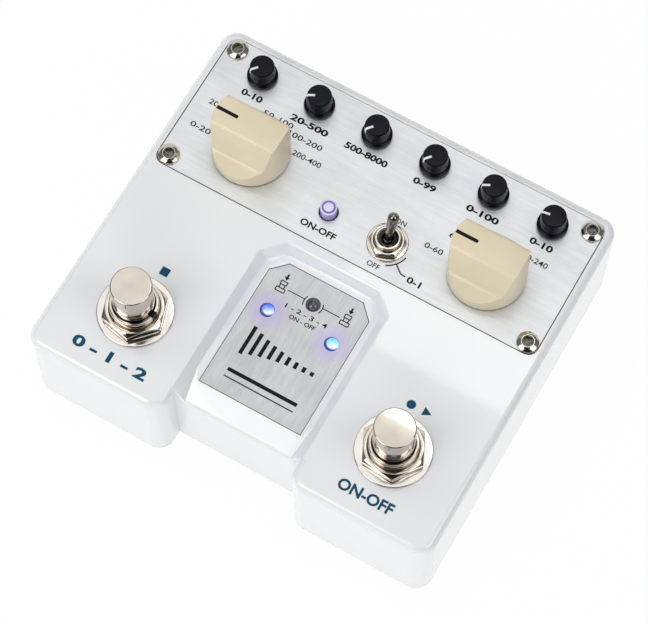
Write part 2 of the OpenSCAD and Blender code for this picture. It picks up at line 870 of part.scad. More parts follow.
module jack_sockets() {
    color("black") for (x = jack_xs) difference() {
        union() {
            translate([x - jack_half, wall_in_y - jack_len, jack_board_top_z])
                cube([2 * jack_half, jack_len, 2 * jack_half]);
            back_rod(x, wall_in_y - overlap, back_y + jack_out, jack_nose_d);
        }
        back_rod(x, wall_in_y - jack_len + 2, back_y + jack_out + overlap, jack_bore_d);
    }
}

module jack_washers() {
    color("silver") for (x = jack_xs) difference() {
        back_rod(x, back_y, back_y + jack_washer_t, jack_nut_w + 1.4);
        back_rod(x, back_y - overlap, back_y + overlap, jack_nose_d);
    }
}

module jack_nuts() {
    color("silver") for (x = jack_xs)
        translate([x, jack_nut_y, jack_z]) rotate([-90, 0, 0])
            nut(jack_nut_w, jack_nut_h, jack_nose_d, 0);
}

module power_socket() {
    color("black") difference() {
        union() {
            translate([-power_w / 2, wall_in_y - power_len, jack_board_top_z])
                cube([power_w, power_len, power_h]);
            back_rod(0, wall_in_y - overlap, back_y, power_bore_d + 2 * power_rim);
        }
        back_rod(0, back_y - power_depth, back_y + overlap, power_bore_d);
    }
    color("silver") back_rod(0, back_y - power_depth - overlap, back_y - overlap, power_pin_d);
}

enclosure_shell();
bottom_plate();
bottom_screws();
rubber_feet();
control_panel();
panel_screws();
badge_plate();
status_led_left();
status_led_right();
preset_led();
control_board();
board_screws();
jack_board();
ribbon_cable();
footswitch_cables();
footswitch_left_housing();
footswitch_left_washer();
footswitch_left_nut();
footswitch_left_spring();
footswitch_left_button();
footswitch_right_housing();
footswitch_right_washer();
footswitch_right_nut();
footswitch_right_spring();
footswitch_right_button();
toggle_housing();
toggle_washer();
toggle_nut();
toggle_lever();
stereo_button_body();
stereo_button_cap();
dry_pot();
dry_shaft();
dry_knob();
low_cut_pot();
low_cut_shaft();
low_cut_knob();
high_cut_pot();
high_cut_shaft();
high_cut_knob();
time_pot();
time_shaft();
time_knob();
feedback_pot();
feedback_shaft();
feedback_knob();
wet_pot();
wet_shaft();
wet_knob();
type_selector_body();
type_selector_shaft();
type_selector_knob();
mode_selector_body();
mode_selector_shaft();
mode_selector_knob();
jack_sockets();
jack_washers();
jack_nuts();
power_socket();
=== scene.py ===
# %% [markdown]
# # Dressing a digital delay pedal
# The solids of the pedal come from its CAD source and are already packed: every piece is a named
# node that rides on a body, and the bodies turn, slide and tip as the real controls do.
# This lesson leaves those solids where they are and gives them their looks: paint, brushed metal,
# nickel, moulded plastic, printed marks and lit lamps. Where a solid is too plain to be seen close
# up, a finer piece is modelled in its place and rides on the same body.

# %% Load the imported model
import json
import math
import bpy
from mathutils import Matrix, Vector

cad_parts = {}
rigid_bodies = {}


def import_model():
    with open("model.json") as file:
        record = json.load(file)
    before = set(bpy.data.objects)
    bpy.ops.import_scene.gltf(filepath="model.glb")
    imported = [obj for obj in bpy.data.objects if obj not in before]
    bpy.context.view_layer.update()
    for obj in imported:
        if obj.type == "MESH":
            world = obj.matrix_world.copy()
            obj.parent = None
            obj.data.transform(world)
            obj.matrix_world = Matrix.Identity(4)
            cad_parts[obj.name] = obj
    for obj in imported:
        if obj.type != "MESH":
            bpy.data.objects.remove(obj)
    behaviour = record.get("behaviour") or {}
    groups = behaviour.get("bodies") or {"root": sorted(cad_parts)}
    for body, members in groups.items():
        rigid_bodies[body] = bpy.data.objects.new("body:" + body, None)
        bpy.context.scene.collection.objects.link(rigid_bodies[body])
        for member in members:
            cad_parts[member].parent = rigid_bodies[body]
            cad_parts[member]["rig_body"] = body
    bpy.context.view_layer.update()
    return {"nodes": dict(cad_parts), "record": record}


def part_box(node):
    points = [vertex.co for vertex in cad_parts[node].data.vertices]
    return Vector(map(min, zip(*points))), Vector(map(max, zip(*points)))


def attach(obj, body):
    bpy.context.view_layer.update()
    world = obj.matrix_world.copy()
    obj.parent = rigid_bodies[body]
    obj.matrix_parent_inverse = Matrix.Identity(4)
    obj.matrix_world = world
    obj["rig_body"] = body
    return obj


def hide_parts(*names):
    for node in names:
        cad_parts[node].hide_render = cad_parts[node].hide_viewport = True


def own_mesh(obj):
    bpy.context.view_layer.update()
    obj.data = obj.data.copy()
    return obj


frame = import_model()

MM = 0.001
nodes = frame["nodes"]

# %% [markdown]
# ## Camera
# The photograph looks down on the pedal from the front right. Its camera was fitted to the corners
# of the case and to the rows of controls, so it is given here as an aim point, two angles, a
# distance and a lens. A long lens from far away keeps the edges of the case almost parallel.

# %% Camera
AIM = Vector((4.35, -10.04, 37.0)) * MM
VIEW_AZIMUTH, VIEW_ELEVATION = 29.79, 67.98
VIEW_DISTANCE = 708.99 * MM
LENS, SENSOR = 145.07, 36


def direction(azimuth, elevation):
    """Unit vector from the pedal, by degrees: azimuth runs from the front (-Y) to the right (+X)."""
    side, up = math.radians(azimuth), math.radians(elevation)
    flat = math.cos(up)
    return Vector((math.sin(side) * flat, -math.cos(side) * flat, math.sin(up)))


bpy.ops.object.select_all(action="DESELECT")
bpy.ops.object.camera_add(
    location=AIM + direction(VIEW_AZIMUTH, VIEW_ELEVATION) * VIEW_DISTANCE,
    rotation=(math.radians(90 - VIEW_ELEVATION), 0, math.radians(VIEW_AZIMUTH)))
camera = bpy.context.object
camera.data.lens = LENS
camera.data.sensor_width = SENSOR
camera.data.sensor_fit = "HORIZONTAL"
bpy.context.scene.camera = camera
print("Camera at", [round(v, 3) for v in camera.location])

# %% [markdown]
# ## Shader arithmetic
# A finish is a small calculation: some noise, often stretched, pushes a colour or a roughness up and
# down. Written as nodes by hand that is slow to read, so a thin wrapper round a socket lets Python's
# own operators add the Math nodes. One method, `node`, adds any other node, and a few short methods
# call it for what is used most.

# %% Socket wrapper


class Wire:
    """One output socket of a shader node, usable in Python arithmetic."""

    def __init__(self, tree, socket=None):
        self.tree = tree
        self.socket = socket

    def node(self, kind, settings=None, inputs=None, out=0):
        """Adds a node: settings first, then the values or links of its sockets."""
        made = self.tree.nodes.new(kind)
        for key, value in (settings or {}).items():
            if key == "stops":
                ramp = made.color_ramp.elements
                while len(ramp) < len(value):
                    ramp.new(0.5)
                for element, (position, colour) in zip(ramp, value):
                    element.position = position
                    element.color = (*colour, 1)
            else:
                setattr(made, key, value)
        for key, value in (inputs or {}).items():
            if isinstance(value, Wire):
                self.tree.links.new(value.socket, made.inputs[key])
            else:
                made.inputs[key].default_value = value
        return Wire(self.tree, made.outputs[out] if len(made.outputs) else None)

    def math(self, operation, first, second):
        return self.node("ShaderNodeMath", {"operation": operation}, {0: first, 1: second})

    def __add__(self, other):
        return self.math("ADD", self, other)

    def __sub__(self, other):
        return self.math("SUBTRACT", self, other)

    def __rsub__(self, other):
        return self.math("SUBTRACT", other, self)

    def __mul__(self, other):
        return self.math("MULTIPLY", self, other)

    def __gt__(self, other):
        return self.math("GREATER_THAN", self, other)

    def __lt__(self, other):
        return self.math("LESS_THAN", self, other)

    def __pow__(self, other):
        return self.math("POWER", self, other)

    def __abs__(self):
        return self.math("ABSOLUTE", self, 0)

    __radd__ = __add__
    __rmul__ = __mul__

    def noise(self, scale, detail=3.0, roughness=0.5):
        """Soft noise from 0 to 1, sampled at this coordinate."""
        return self.node("ShaderNodeTexNoise", None, {
            "Vector": self, "Scale": scale, "Detail": detail, "Roughness": roughness}, "Fac")

    def stretched(self, scale):
        """The same coordinate, stretched, so a pattern runs along one axis."""
        return self.node("ShaderNodeMapping", None, {"Vector": self, "Scale": scale}, "Vector")

    def parts(self):
        """X, Y and Z of a coordinate."""
        first = self.node("ShaderNodeSeparateXYZ", None, {0: self})
        return [Wire(self.tree, socket) for socket in first.socket.node.outputs]

    def off_axis(self, x, y):
        """Distance of a coordinate from an upright axis, in metres."""
        right, back = self.parts()[:2]
        return ((right - x) ** 2 + (back - y) ** 2) ** 0.5

    def remapped(self, low, high, first=0.0, last=1.0):
        """Goes from first to last while this value goes from low to high."""
        return self.node("ShaderNodeMapRange", None, {0: self, 1: low, 2: high, 3: first, 4: last})

    def tinted(self, factor, colour):
        """This colour mixed with another one."""
        return self.node("ShaderNodeMix", {"data_type": "RGBA"}, {
            0: factor, 6: self, 7: (*colour, 1)}, 2)

    def ray(self, kind):
        """1 on light rays of one kind, 0 on others."""
        return self.node("ShaderNodeLightPath", None, None, "Is %s Ray" % kind)

    def ramp(self, *stops):
        """Colour that runs through (position, colour) stops."""
        return self.node("ShaderNodeValToRGB", {"stops": stops}, {0: self})

    def between(self, first, last):
        """Colour between two, over the middle range that noise mostly takes."""
        return self.ramp((0.3, first), (0.7, last))


def finish(name, **constants):
    """New material: returns it with its shader and its Object coordinate."""
    material = bpy.data.materials.new(name)
    material.use_nodes = True
    tree = material.node_tree
    shader = tree.nodes["Principled BSDF"]
    for key, value in constants.items():
        shader.inputs[key.replace("_", " ")].default_value = value
    where = Wire(tree).node("ShaderNodeTexCoord", None, None, "Object")
    return material, shader, where


def wire_up(shader, **links):
    """Links values that change over the surface to the shader's sockets."""
    for key, value in links.items():
        value.tree.links.new(value.socket, shader.inputs[key.replace("_", " ")])


def bump(height, strength, depth):
    """Normal that follows a height pattern, its depth in metres."""
    return height.node("ShaderNodeBump", None, {
        "Height": height, "Strength": strength, "Distance": depth})


print("Shader helpers ready")

# %% [markdown]
# ## Painted and brushed metal
# The case is a casting under a thick gloss white. Sprayed paint dries with a faint orange peel, and
# its gloss is never quite even, so one noise makes tiny hills and another shifts the roughness.
# The control panel and the badge are brushed aluminium: hairlines all run one way, along X on the
# panel and along Y on the badge. A noise squeezed hard across the brushing and drawn out along it
# gives those hairlines, in colour, in roughness and in height.

# %% Paint and brushed metal


def gloss_paint():
    material, shader, where = finish("gloss white paint", Coat_Weight=1.0, Coat_Roughness=0.04)
    cloud = where.noise(38, 2)
    peel = where.noise(850, 2)
    wire_up(shader,
            Base_Color=cloud.between((0.765, 0.785, 0.805), (0.80, 0.815, 0.83)),
            Roughness=0.2 + cloud * 0.1,
            Normal=bump(peel, 0.12, 0.00003))
    return material


def middle_of(node):
    """Middle of a node's box."""
    low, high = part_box(node)
    return (low + high) / 2


def brushed(name, along_y, dark, light, rough, lamps=()):
    """Hairlines along one axis; round each lamp, by its node, the lamp's violet light is painted into the
    metal's colour.
    """
    material, shader, where = finish(name, Metallic=1.0)
    hairs = where.stretched((3600, 260, 260) if along_y else (200, 3600, 200)).noise(1, 3, 0.6)
    streaks = where.stretched((700, 90, 90) if along_y else (60, 700, 60)).noise(1, 2)
    cloud = where.noise(90, 3)
    tone = hairs * 0.45 + streaks * 0.25 + cloud * 0.3
    colour = tone.between(dark, light)
    for lamp in lamps:
        middle = middle_of(lamp)
        # painted light: violet from each lamp, mixed into the colour by distance from it
        painted_violet_light = where.off_axis(middle.x, middle.y).remapped(0.001, 0.0065, 0.8, 0.0)
        colour = colour.tinted(painted_violet_light, (0.47, 0.4, 0.72))
    wire_up(shader,
            Base_Color=colour,
            Roughness=rough + hairs * 0.16,
            Normal=bump(hairs, 0.2, 0.00002))
    return material


def plated(name, pale, deep, rough):
    """Nickel plate: bright and warm, with faint polishing marks and fingerprints."""
    material, shader, where = finish(name, Metallic=1.0)
    smear = where.noise(160, 3)
    marks = where.stretched((500, 500, 5200)).noise(1, 2)
    wire_up(shader,
            Base_Color=smear.between(deep, pale),
            Roughness=rough + smear * 0.07 + marks * 0.03,
            Normal=bump(marks, 0.1, 0.00001))
    return material


white_paint = gloss_paint()
brushed_panel = brushed("brushed panel", False, (0.67, 0.69, 0.70), (0.885, 0.905, 0.92), 0.36)
# the violet round the two lamps on the badge is painted light
brushed_badge = brushed("brushed badge", True, (0.41, 0.415, 0.425), (0.63, 0.635, 0.65), 0.28,
                        ("status_led_left", "status_led_right"))
nickel = plated("nickel plate", (0.68, 0.625, 0.555), (0.6, 0.545, 0.475), 0.05)
cap_nickel = plated("cap plate", (0.655, 0.6, 0.53), (0.58, 0.525, 0.46), 0.05)
washer_nickel = plated("washer plate", (0.79, 0.745, 0.705), (0.71, 0.665, 0.63), 0.06)
lever_chrome = plated("lever chrome", (0.3, 0.275, 0.25), (0.2, 0.18, 0.16), 0.04)
screw_steel = plated("screw steel", (0.66, 0.65, 0.62), (0.54, 0.53, 0.51), 0.1)
print("Metals:", white_paint.name, brushed_panel.name, brushed_badge.name, nickel.name)

# %% [markdown]
# ## Plastics, rubber, ink and the hidden pieces
# Moulded knobs have a fine sparkle from the tool that cut their mould, and colour that drifts a
# little where the plastic flowed. Printing ink is thin and matt with ragged density. The boards,
# cables and switch bodies inside the case are seldom seen, but each still has its own pattern.

# %% Plastics, ink and inner finishes


def moulded(name, dark, light, rough, grain, height, **constants):
    material, shader, where = finish(name, **constants)
    drift = where.noise(120, 2)
    fine = where.noise(grain, 2)
    wire_up(shader,
            Base_Color=(drift * 0.9 + fine * 0.1).between(dark, light),
            Roughness=rough + fine * 0.08,
            Normal=bump(fine, 0.3, height))
    return material


def ink(name, thin, full):
    material, shader, where = finish(name, Specular_IOR_Level=0.12)
    density = where.noise(6500, 2)
    wire_up(shader, Base_Color=density.ramp((0.3, full), (0.75, thin)), Roughness=0.42 + density * 0.2)
    return material


def circuit_board():
    """Green lacquer over copper tracks: the tracks lie on a fine square grid."""
    material, shader, where = finish("green board")
    tracks = where.node("ShaderNodeTexBrick", None, {
        "Vector": where, "Scale": 260.0, "Mortar Size": 0.03,
        "Color1": (0.01, 0.13, 0.06, 1), "Color2": (0.015, 0.16, 0.07, 1),
        "Mortar": (0.05, 0.28, 0.12, 1)})
    grain = where.noise(2400, 2)
    wire_up(shader, Base_Color=tracks, Roughness=0.3 + grain * 0.15, Normal=bump(grain, 0.2, 0.00002))
    return material


def ribbed_cable():
    """Flat cable: round wires side by side make even ribs across its width."""
    material, shader, where = finish("grey cable")
    ribs = where.node("ShaderNodeTexWave", {"bands_direction": "X"}, {
        "Vector": where, "Scale": 250.0, "Distortion": 0.0}, "Fac")
    # painted shade: the grooves between the wires are darker in the colour
    wire_up(shader, Base_Color=ribs.ramp((0.2, (0.2, 0.2, 0.21)), (0.8, (0.42, 0.42, 0.43))),
            Roughness=0.5 + ribs * 0.1, Normal=bump(ribs, 0.6, 0.0002))
    return material


ivory = moulded("ivory plastic", (0.73, 0.64, 0.452), (0.768, 0.682, 0.494), 0.2, 2600, 0.0000008,
                Subsurface_Weight=0.12, Subsurface_Scale=0.002)
black_gloss = moulded("black knob plastic", (0.002, 0.002, 0.004), (0.006, 0.006, 0.01), 0.2,
                      3200, 0.00001, Specular_IOR_Level=0.14)
black_plastic = moulded("black socket plastic", (0.012, 0.012, 0.013), (0.03, 0.03, 0.032), 0.36,
                        2200, 0.00003)
switch_grey = moulded("grey switch body", (0.2, 0.21, 0.22), (0.3, 0.31, 0.32), 0.4, 1800, 0.00003)
foot_rubber = moulded("foot rubber", (0.02, 0.02, 0.021), (0.05, 0.05, 0.05), 0.62, 1500, 0.00008)
frosted_cap = moulded("frosted button", (0.5, 0.48, 0.62), (0.78, 0.76, 0.9), 0.25, 2600, 0.00001,
                      Transmission_Weight=0.25)
steel_plate = brushed("bottom steel", False, (0.42, 0.43, 0.44), (0.6, 0.6, 0.61), 0.3)
shaft_steel = plated("shaft steel", (0.66, 0.66, 0.65), (0.54, 0.54, 0.53), 0.18)
spring_steel = plated("spring steel", (0.62, 0.61, 0.6), (0.48, 0.47, 0.46), 0.2)
black_ink = ink("black ink", (0.014, 0.014, 0.015), (0.004, 0.004, 0.005))
teal_ink = ink("teal ink", (0.012, 0.09, 0.16), (0.006, 0.06, 0.115))
white_ink = ink("white ink", (0.7, 0.7, 0.7), (0.85, 0.85, 0.84))
board_green = circuit_board()
cable_grey = ribbed_cable()
print("Plastics, ink and inner finishes:", len(bpy.data.materials), "materials so far")

# %% [markdown]
# ## Lamps
# A lit lamp is a clear blue bead with a bright chip inside: coloured above, almost white where the
# chip shines through, and deep navy in a crescent along one edge, which is painted shade of the dark
# gap round the bead. A slope across each bead in its own place gives the first two, and the distance
# from a point beside the middle gives the crescent. The third lamp is off, so it is smoky glass over a
# dark cup.

# %% Lamp finishes
NAVY = (0.012, 0.02, 0.16)


def lit_lamp(name, node, upper, middle, lower):
    material, shader, where = finish(name, Roughness=0.08, Emission_Strength=1.0)
    centre = middle_of(node)
    x, y = where.parts()[:2]
    across = (x - centre.x) * 160 - (y - centre.y) * 250 + 0.4
    glow = across + where.noise(900, 1) * 0.2
    # painted shade: a navy crescent on the bead where the gap round it is dark
    crescent = where.off_axis(centre.x + 0.26 * MM, centre.y + 0.23 * MM).remapped(0.0015, 0.0019)
    colour = glow.ramp((0.15, upper), (0.5, middle), (0.85, lower)).tinted(crescent, NAVY)
    wire_up(shader, Base_Color=glow.ramp((0.1, NAVY), (0.8, (0.05, 0.08, 0.2))), Emission_Color=colour)
    return material


def dark_lamp():
    material, shader, where = finish("unlit lamp", Roughness=0.06, Coat_Weight=0.6)
    cup = where.noise(700, 2)
    wire_up(shader, Base_Color=cup.between((0.02, 0.018, 0.03), (0.12, 0.1, 0.13)))
    return material


lamp_left = lit_lamp("lit lamp left", "status_led_left", (0.06, 0.15, 0.75), (0.24, 0.42, 0.95),
                     (0.85, 0.9, 1.0))
lamp_right = lit_lamp("lit lamp right", "status_led_right", (0.2, 0.6, 0.85), (0.36, 0.88, 0.86),
                      (0.9, 1.0, 0.94))
lamp_dark = dark_lamp()
print("Lamps:", lamp_left.name, lamp_right.name, lamp_dark.name)

# %% [markdown]
# ## First coat for every solid
# Each node already carries the slot that its record names. A table from slot to finish gives every
# solid its material at once. Some of them are replaced by finer pieces further on.

# %% Finishes on the CAD nodes
SLOT_FINISH = {
    "white_paint": white_paint, "steel_plate": steel_plate, "screw_steel": screw_steel,
    "foot_rubber": foot_rubber, "brushed_panel": brushed_panel, "brushed_badge": brushed_badge,
    "lamp_blue": lamp_left, "lamp_dark": lamp_dark, "board_green": board_green,
    "cable_grey": cable_grey, "nickel": nickel, "spring_steel": spring_steel,
    "black_plastic": black_plastic, "frosted_cap": frosted_cap, "black_gloss": black_gloss,
    "ivory": ivory, "switch_grey": switch_grey, "shaft_steel": shaft_steel,
}
node_slot = {row["node"]: row["material_slot"] for row in frame["record"]["subparts"]}
for node_name, solid in nodes.items():
    solid.material_slots[0].material = SLOT_FINISH[node_slot[node_name]]
nodes["status_led_right"].material_slots[0].material = lamp_right
print("Finishes given to", len(nodes), "nodes")

# %% [markdown]
# ## Workshop helpers
# Most fittings on a pedal are turned parts: washers, bushings, caps, knobs and screws. On a lathe
# a tool follows an outline while the work spins, and the same is done here. A line of points is
# drawn by extruding one vertex from place to place, and Spin takes it round the Z axis. Flat work
# starts from the same kind of line: it is filled and pushed out to a slab. `eased` rounds the
# corners of an outline before it is used, because no real edge is sharp.

# %% Drawing, turning and pushing out
WELD = 0.000001


def start_fresh():
    """Deselects everything, so an operator touches only what comes next."""
    bpy.ops.object.select_all(action="DESELECT")


def pick(piece):
    """Selects one piece alone and makes it the active one."""
    start_fresh()
    piece.select_set(True)
    bpy.context.view_layer.objects.active = piece
    return piece


def named(piece, name):
    """Gives a piece and its mesh one name."""
    piece.name = name
    piece.data.name = name
    return piece


def mirrored(half):
    """The other half of a symmetric outline, which goes on where the first half ends."""
    return [(-x, *rest) for x, *rest in reversed(half)]


def eased(outline, steps=4):
    """Rounds corners: a point is (x, y), or (x, y, radius) where the corner is rounded."""
    soft = []
    for index, point in enumerate(outline):
        here = Vector(point[:2])
        if len(point) == 2:
            soft.append(here)
            continue
        back = Vector(outline[index - 1][:2]) - here
        ahead = Vector(outline[(index + 1) % len(outline)][:2]) - here
        reach = point[2] / math.tan(back.angle(ahead) / 2)
        start = here + back.normalized() * reach
        end = here + ahead.normalized() * reach
        for step in range(steps + 1):
            t = step / steps
            soft.append(start.lerp(here, t).lerp(here.lerp(end, t), t))
    return soft


def extrude(step):
    """Extrudes what is selected along a vector in metres."""
    bpy.ops.mesh.extrude_region_move(TRANSFORM_OT_translate={"value": step})


def drawn(name, points):
    """A line through points in mm, left in edit mode with all of it selected."""
    start_fresh()
    bpy.ops.mesh.primitive_plane_add(size=MM, location=(0, 0, 0))
    piece = named(bpy.context.object, name)
    bpy.ops.object.mode_set(mode="EDIT")
    bpy.ops.mesh.merge(type="CENTER")
    here = Vector((0, 0, 0))
    for index, point in enumerate(points):
        spot = Vector(point) * MM
        if index == 0:
            bpy.ops.transform.translate(value=spot)
        else:
            extrude(spot - here)
        here = spot
    bpy.ops.mesh.select_all(action="SELECT")
    bpy.ops.mesh.remove_doubles(threshold=WELD)
    return piece


def close_up(piece):
    """Merges the seam, turns all faces outwards and leaves edit mode."""
    bpy.ops.mesh.select_all(action="SELECT")
    bpy.ops.mesh.remove_doubles(threshold=WELD)
    bpy.ops.mesh.normals_make_consistent(inside=False)
    bpy.ops.object.mode_set(mode="OBJECT")
    return piece


def turned(name, outline, steps=72):
    """Lathe work: an outline of (radius, height) in mm spun round the Z axis."""
    piece = drawn(name, [(radius, 0, height) for radius, height in outline])
    bpy.ops.mesh.spin(steps=steps, angle=2 * math.pi, center=(0, 0, 0), axis=(0, 0, 1))
    return close_up(piece)


def ring(name, outline, steps=72):
    """Lathe work with a hole: the outline is closed on itself."""
    return turned(name, [*outline, outline[0]], steps)


def slab(name, points, push):
    """A flat closed outline of 3-D points in mm, filled and pushed out along a vector."""
    piece = drawn(name, [*points, points[0]])
    bpy.ops.mesh.edge_face_add()
    extrude(Vector(push) * MM)
    return close_up(piece)


def flat_slab(name, outline, low, high):
    """A slab that lies flat, from height low to height high."""
    return slab(name, [(x, y, low) for x, y in outline], (0, 0, high - low))


print("Turning and slab helpers ready")

# %% [markdown]
# ## Cutting, copying and handing over
# A finished piece is put in its place, and the place is applied, so the object itself stays at the
# origin like a CAD node. Holes and sockets are cut with a Boolean modifier, edges are broken with
# a Bevel modifier, and each modifier is applied at once. `dress` gives a piece its place and its
# finish and lets it ride on the body of a node. `stand_in` also hides that node.

# %% Cutting, copying and handing over


def settle(piece, at=(0, 0, 0), turn=(0, 0, 0)):
    """Moves a piece to its place in mm, turned in degrees, and applies that to its mesh."""
    pick(piece)
    piece.location = Vector(at) * MM
    piece.rotation_euler = [math.radians(angle) for angle in turn]
    bpy.ops.object.transform_apply(location=True, rotation=True, scale=True)
    return piece


def twin(piece, name):
    """A copy with a mesh of its own."""
    pick(piece)
    bpy.ops.object.duplicate(linked=False)
    return named(bpy.context.object, name)


def joined(name, pieces):
    """Several pieces made into one."""
    start_fresh()
    for piece in pieces:
        piece.select_set(True)
    bpy.context.view_layer.objects.active = pieces[0]
    bpy.ops.object.join()
    return named(pieces[0], name)


def reshape(piece, kind, **settings):
    """Adds a modifier with its settings and applies it."""
    pick(piece)
    modifier = piece.modifiers.new(kind.lower(), kind)
    for key, value in settings.items():
        setattr(modifier, key, value)
    bpy.ops.object.modifier_apply(modifier=modifier.name)
    return piece


def carve(piece, tool, operation="DIFFERENCE"):
    """Cuts one piece with another, which is used up."""
    reshape(piece, "BOOLEAN", object=tool, operation=operation, solver="EXACT")
    bpy.data.objects.remove(tool)


def drill(piece, radius, low, high, steps=72):
    """Cuts a round hole along the Z axis, from one height to another."""
    carve(piece, turned("drill", [(0, low), (radius, low), (radius, high), (0, high)], steps))


def soften(piece, width, segments=2, sharper_than=30):
    """Breaks every edge sharper than an angle, by a width in mm."""
    return reshape(piece, "BEVEL", width=width * MM, segments=segments, limit_method="ANGLE",
                   angle_limit=math.radians(sharper_than))


def block(name, middle, size, edge):
    """A box with broken edges, by its middle and size in mm."""
    start_fresh()
    bpy.ops.mesh.primitive_cube_add(size=1, scale=Vector(size) * MM)
    return soften(settle(named(bpy.context.object, name), middle), edge)


def dress(piece, material, node, at=(0, 0, 0), turn=(0, 0, 0), smooth=32):
    """Gives a piece its place and finish, and lets it ride with a node."""
    settle(piece, at, turn)
    bpy.ops.object.shade_smooth_by_angle(angle=math.radians(smooth))
    piece.data.materials.clear()
    piece.data.materials.append(material)
    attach(piece, nodes[node]["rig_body"])


def stand_in(piece, material, node, at=(0, 0, 0), turn=(0, 0, 0), smooth=32):
    """Dresses a piece that takes the place of a node."""
    dress(piece, material, node, at, turn, smooth)
    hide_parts(node)


def spread(master, material, node, places, tip=0, twist=0):
    """Copies a master to its places, each turned a little further, and joins the copies."""
    copies = [settle(twin(master, "copy"), place, (tip, 0, twist * index))
              for index, place in enumerate(places)]
    stand_in(joined(node + "_fine", copies), material, node)
    bpy.data.objects.remove(master)


print("Cutting and placing helpers ready")

# %% [markdown]
# ## Nuts, washers and threads
# A hexagon nut is bar stock: its six corners are turned off at a slant, which leaves the curved
# edge that everybody knows from a nut, and then it is drilled. So a six-sided cylinder is cut by a
# turned blank with slanted ends, and a turned drill goes through. A washer is a turned ring. A thread
# this fine can be shown by rings too, because the slope of one turn is too small to see.

# %% Nuts, washers and threads


def thread(radius, low, high, pitch=0.6, depth=0.26):
    """Outline points of a threaded stretch."""
    points = []
    for turn in range(int((high - low) / pitch)):
        start = low + turn * pitch
        points += [(radius - depth, start + pitch * 0.1), (radius, start + pitch * 0.5),
                   (radius, start + pitch * 0.6)]
    return points


def washer(name, hole, radius, thick, edge, rim, steps):
    """Flat washer that lies on the ground plane, with soft edges and a rounder upper rim."""
    section = [(hole, 0), (radius, 0, edge), (radius, thick, rim), (hole, thick, edge)]
    return ring(name, eased(section), steps)


def hex_bar(name, corner, low, high, turn=0):
    """Six-sided bar from one height to another."""
    start_fresh()
    bpy.ops.mesh.primitive_cylinder_add(
        vertices=6, radius=corner * MM, depth=(high - low) * MM,
        location=(0, 0, (low + high) * MM / 2), rotation=(0, 0, math.radians(turn)))
    bpy.ops.object.transform_apply(location=True, rotation=True, scale=True)
    return named(bpy.context.object, name)


def hex_nut(name, width, height, hole, turn):
    """Nut that stands on the ground plane, one corner at the angle turn."""
    corner = width / 2 / math.cos(math.pi / 6)
    outside = corner + 0.2
    flat = width / 2 - 0.12
    slope = (outside - flat) * math.tan(math.pi / 6)
    nut = hex_bar(name, corner, 0, height, turn - 30)
    blank = [(0, 0), (flat, 0), (outside, slope), (outside, height - slope), (flat, height), (0, height)]
    carve(nut, turned("blank", blank, 96), "INTERSECT")
    bore = [(0, -1), (hole + 0.5, -0.2), (hole, 0.35), (hole, height - 0.35), (hole + 0.5, height + 0.2),
            (0, height + 1)]
    carve(nut, turned("bore", bore, 96))
    return soften(nut, 0.08, 2, 20)


print("Nut, washer and thread helpers ready")

# %% [markdown]
# ## Footswitches
# Each footswitch is held by a wide polished washer and a heavy nut on a threaded bushing. The
# bushing ends in a rounded collar with a keyway, and a tall plated cap slides in it. Seen from
# above, the gap between cap and collar is a dark dished ring, so the collar's inner edge is
# turned to a slant. The cap has a flat top with a narrow broken edge that catches the light.

# %% Footswitch outlines and housing
cap_shape = eased([(0, 20.5), (2.5, 20.5, 0.3), (2.5, 33), (5.75, 33, 0.3), (5.75, 55.3, 0.5),
                   (0, 55.3)], 6)
bushing_shape = [(5.85, 33.5), (6.64, 33.5), *thread(6.9, 34, 41.5), *eased(
    [(6.6, 41.5), (6.9, 41.7), (6.9, 43.8, 0.4), (6.05, 43.8, 0.1), (5.85, 43.4, 0.1), (5.85, 42)])]


def footswitch_housing(side, key_turn):
    """Square switch body under the case top, with its bushing, keyway and six tags."""
    bushing = ring("bushing", bushing_shape, 96)
    key = block("key", (6.85, 0, 43.0), (3.0, 2.0, 3.4), 0.05)
    carve(bushing, settle(key, turn=(0, 0, key_turn)))
    body = block("body", (0, 0, 25), (16.6, 16.6, 18), 0.5)
    carve(body, turned("drill", [(0, 17), (2.55, 17), (2.55, 22), (5.85, 22), (5.85, 40), (0, 40)]))
    tags = [block("tag", (x, y, 14.3), (2, 0.8, 5), 0.15) for x in (-4, 0, 4) for y in (-4, 4)]
    return joined("footswitch_%s_housing_fine" % side, [bushing, body, *tags])


print("Outline points: cap", len(cap_shape), "bushing", len(bushing_shape))

# %% [markdown]
# ## Return springs
# Under the cap a coil spring stands on the switch body. It could be a curve with a round section,
# but a small circle that the Screw modifier winds upwards is a closed mesh at once, when its two
# open ends are filled. In the pedal it shortens by the stroke when the cap goes down; here it is
# made at its full length only.

# %% Return spring
SPRING_FOOT, SPRING_TOP, STROKE = 22.0, 33.0, 2.6
WIRE, COIL, TURNS = 0.45, 4.1, 6


def return_spring(name):
    """Coil spring: a circle of wire, wound round the Z axis."""
    start_fresh()
    bpy.ops.mesh.primitive_circle_add(vertices=12, radius=WIRE * MM, fill_type="NOTHING")
    coil = settle(named(bpy.context.object, name), (COIL, 0, SPRING_FOOT + WIRE), (90, 0, 0))
    pitch = (SPRING_TOP - SPRING_FOOT - 2 * WIRE) / TURNS
    reshape(coil, "SCREW", axis="Z", screw_offset=pitch * MM, iterations=TURNS, steps=32, render_steps=32)
    bpy.ops.object.mode_set(mode="EDIT")
    bpy.ops.mesh.select_all(action="SELECT")
    bpy.ops.mesh.fill_holes(sides=12)
    return close_up(coil)


print("Spring:", TURNS, "turns from", SPRING_FOOT, "to", SPRING_TOP, "mm")

# %% [markdown]
# ## Footswitches in place
# Both switches are alike, but their nuts and keyways stand at different angles, as they were when
# each nut was tight. The frame says where the switches stand. The keyway is a deep slot that lies in
# shade, so a small black block fills its foot as painted shade.

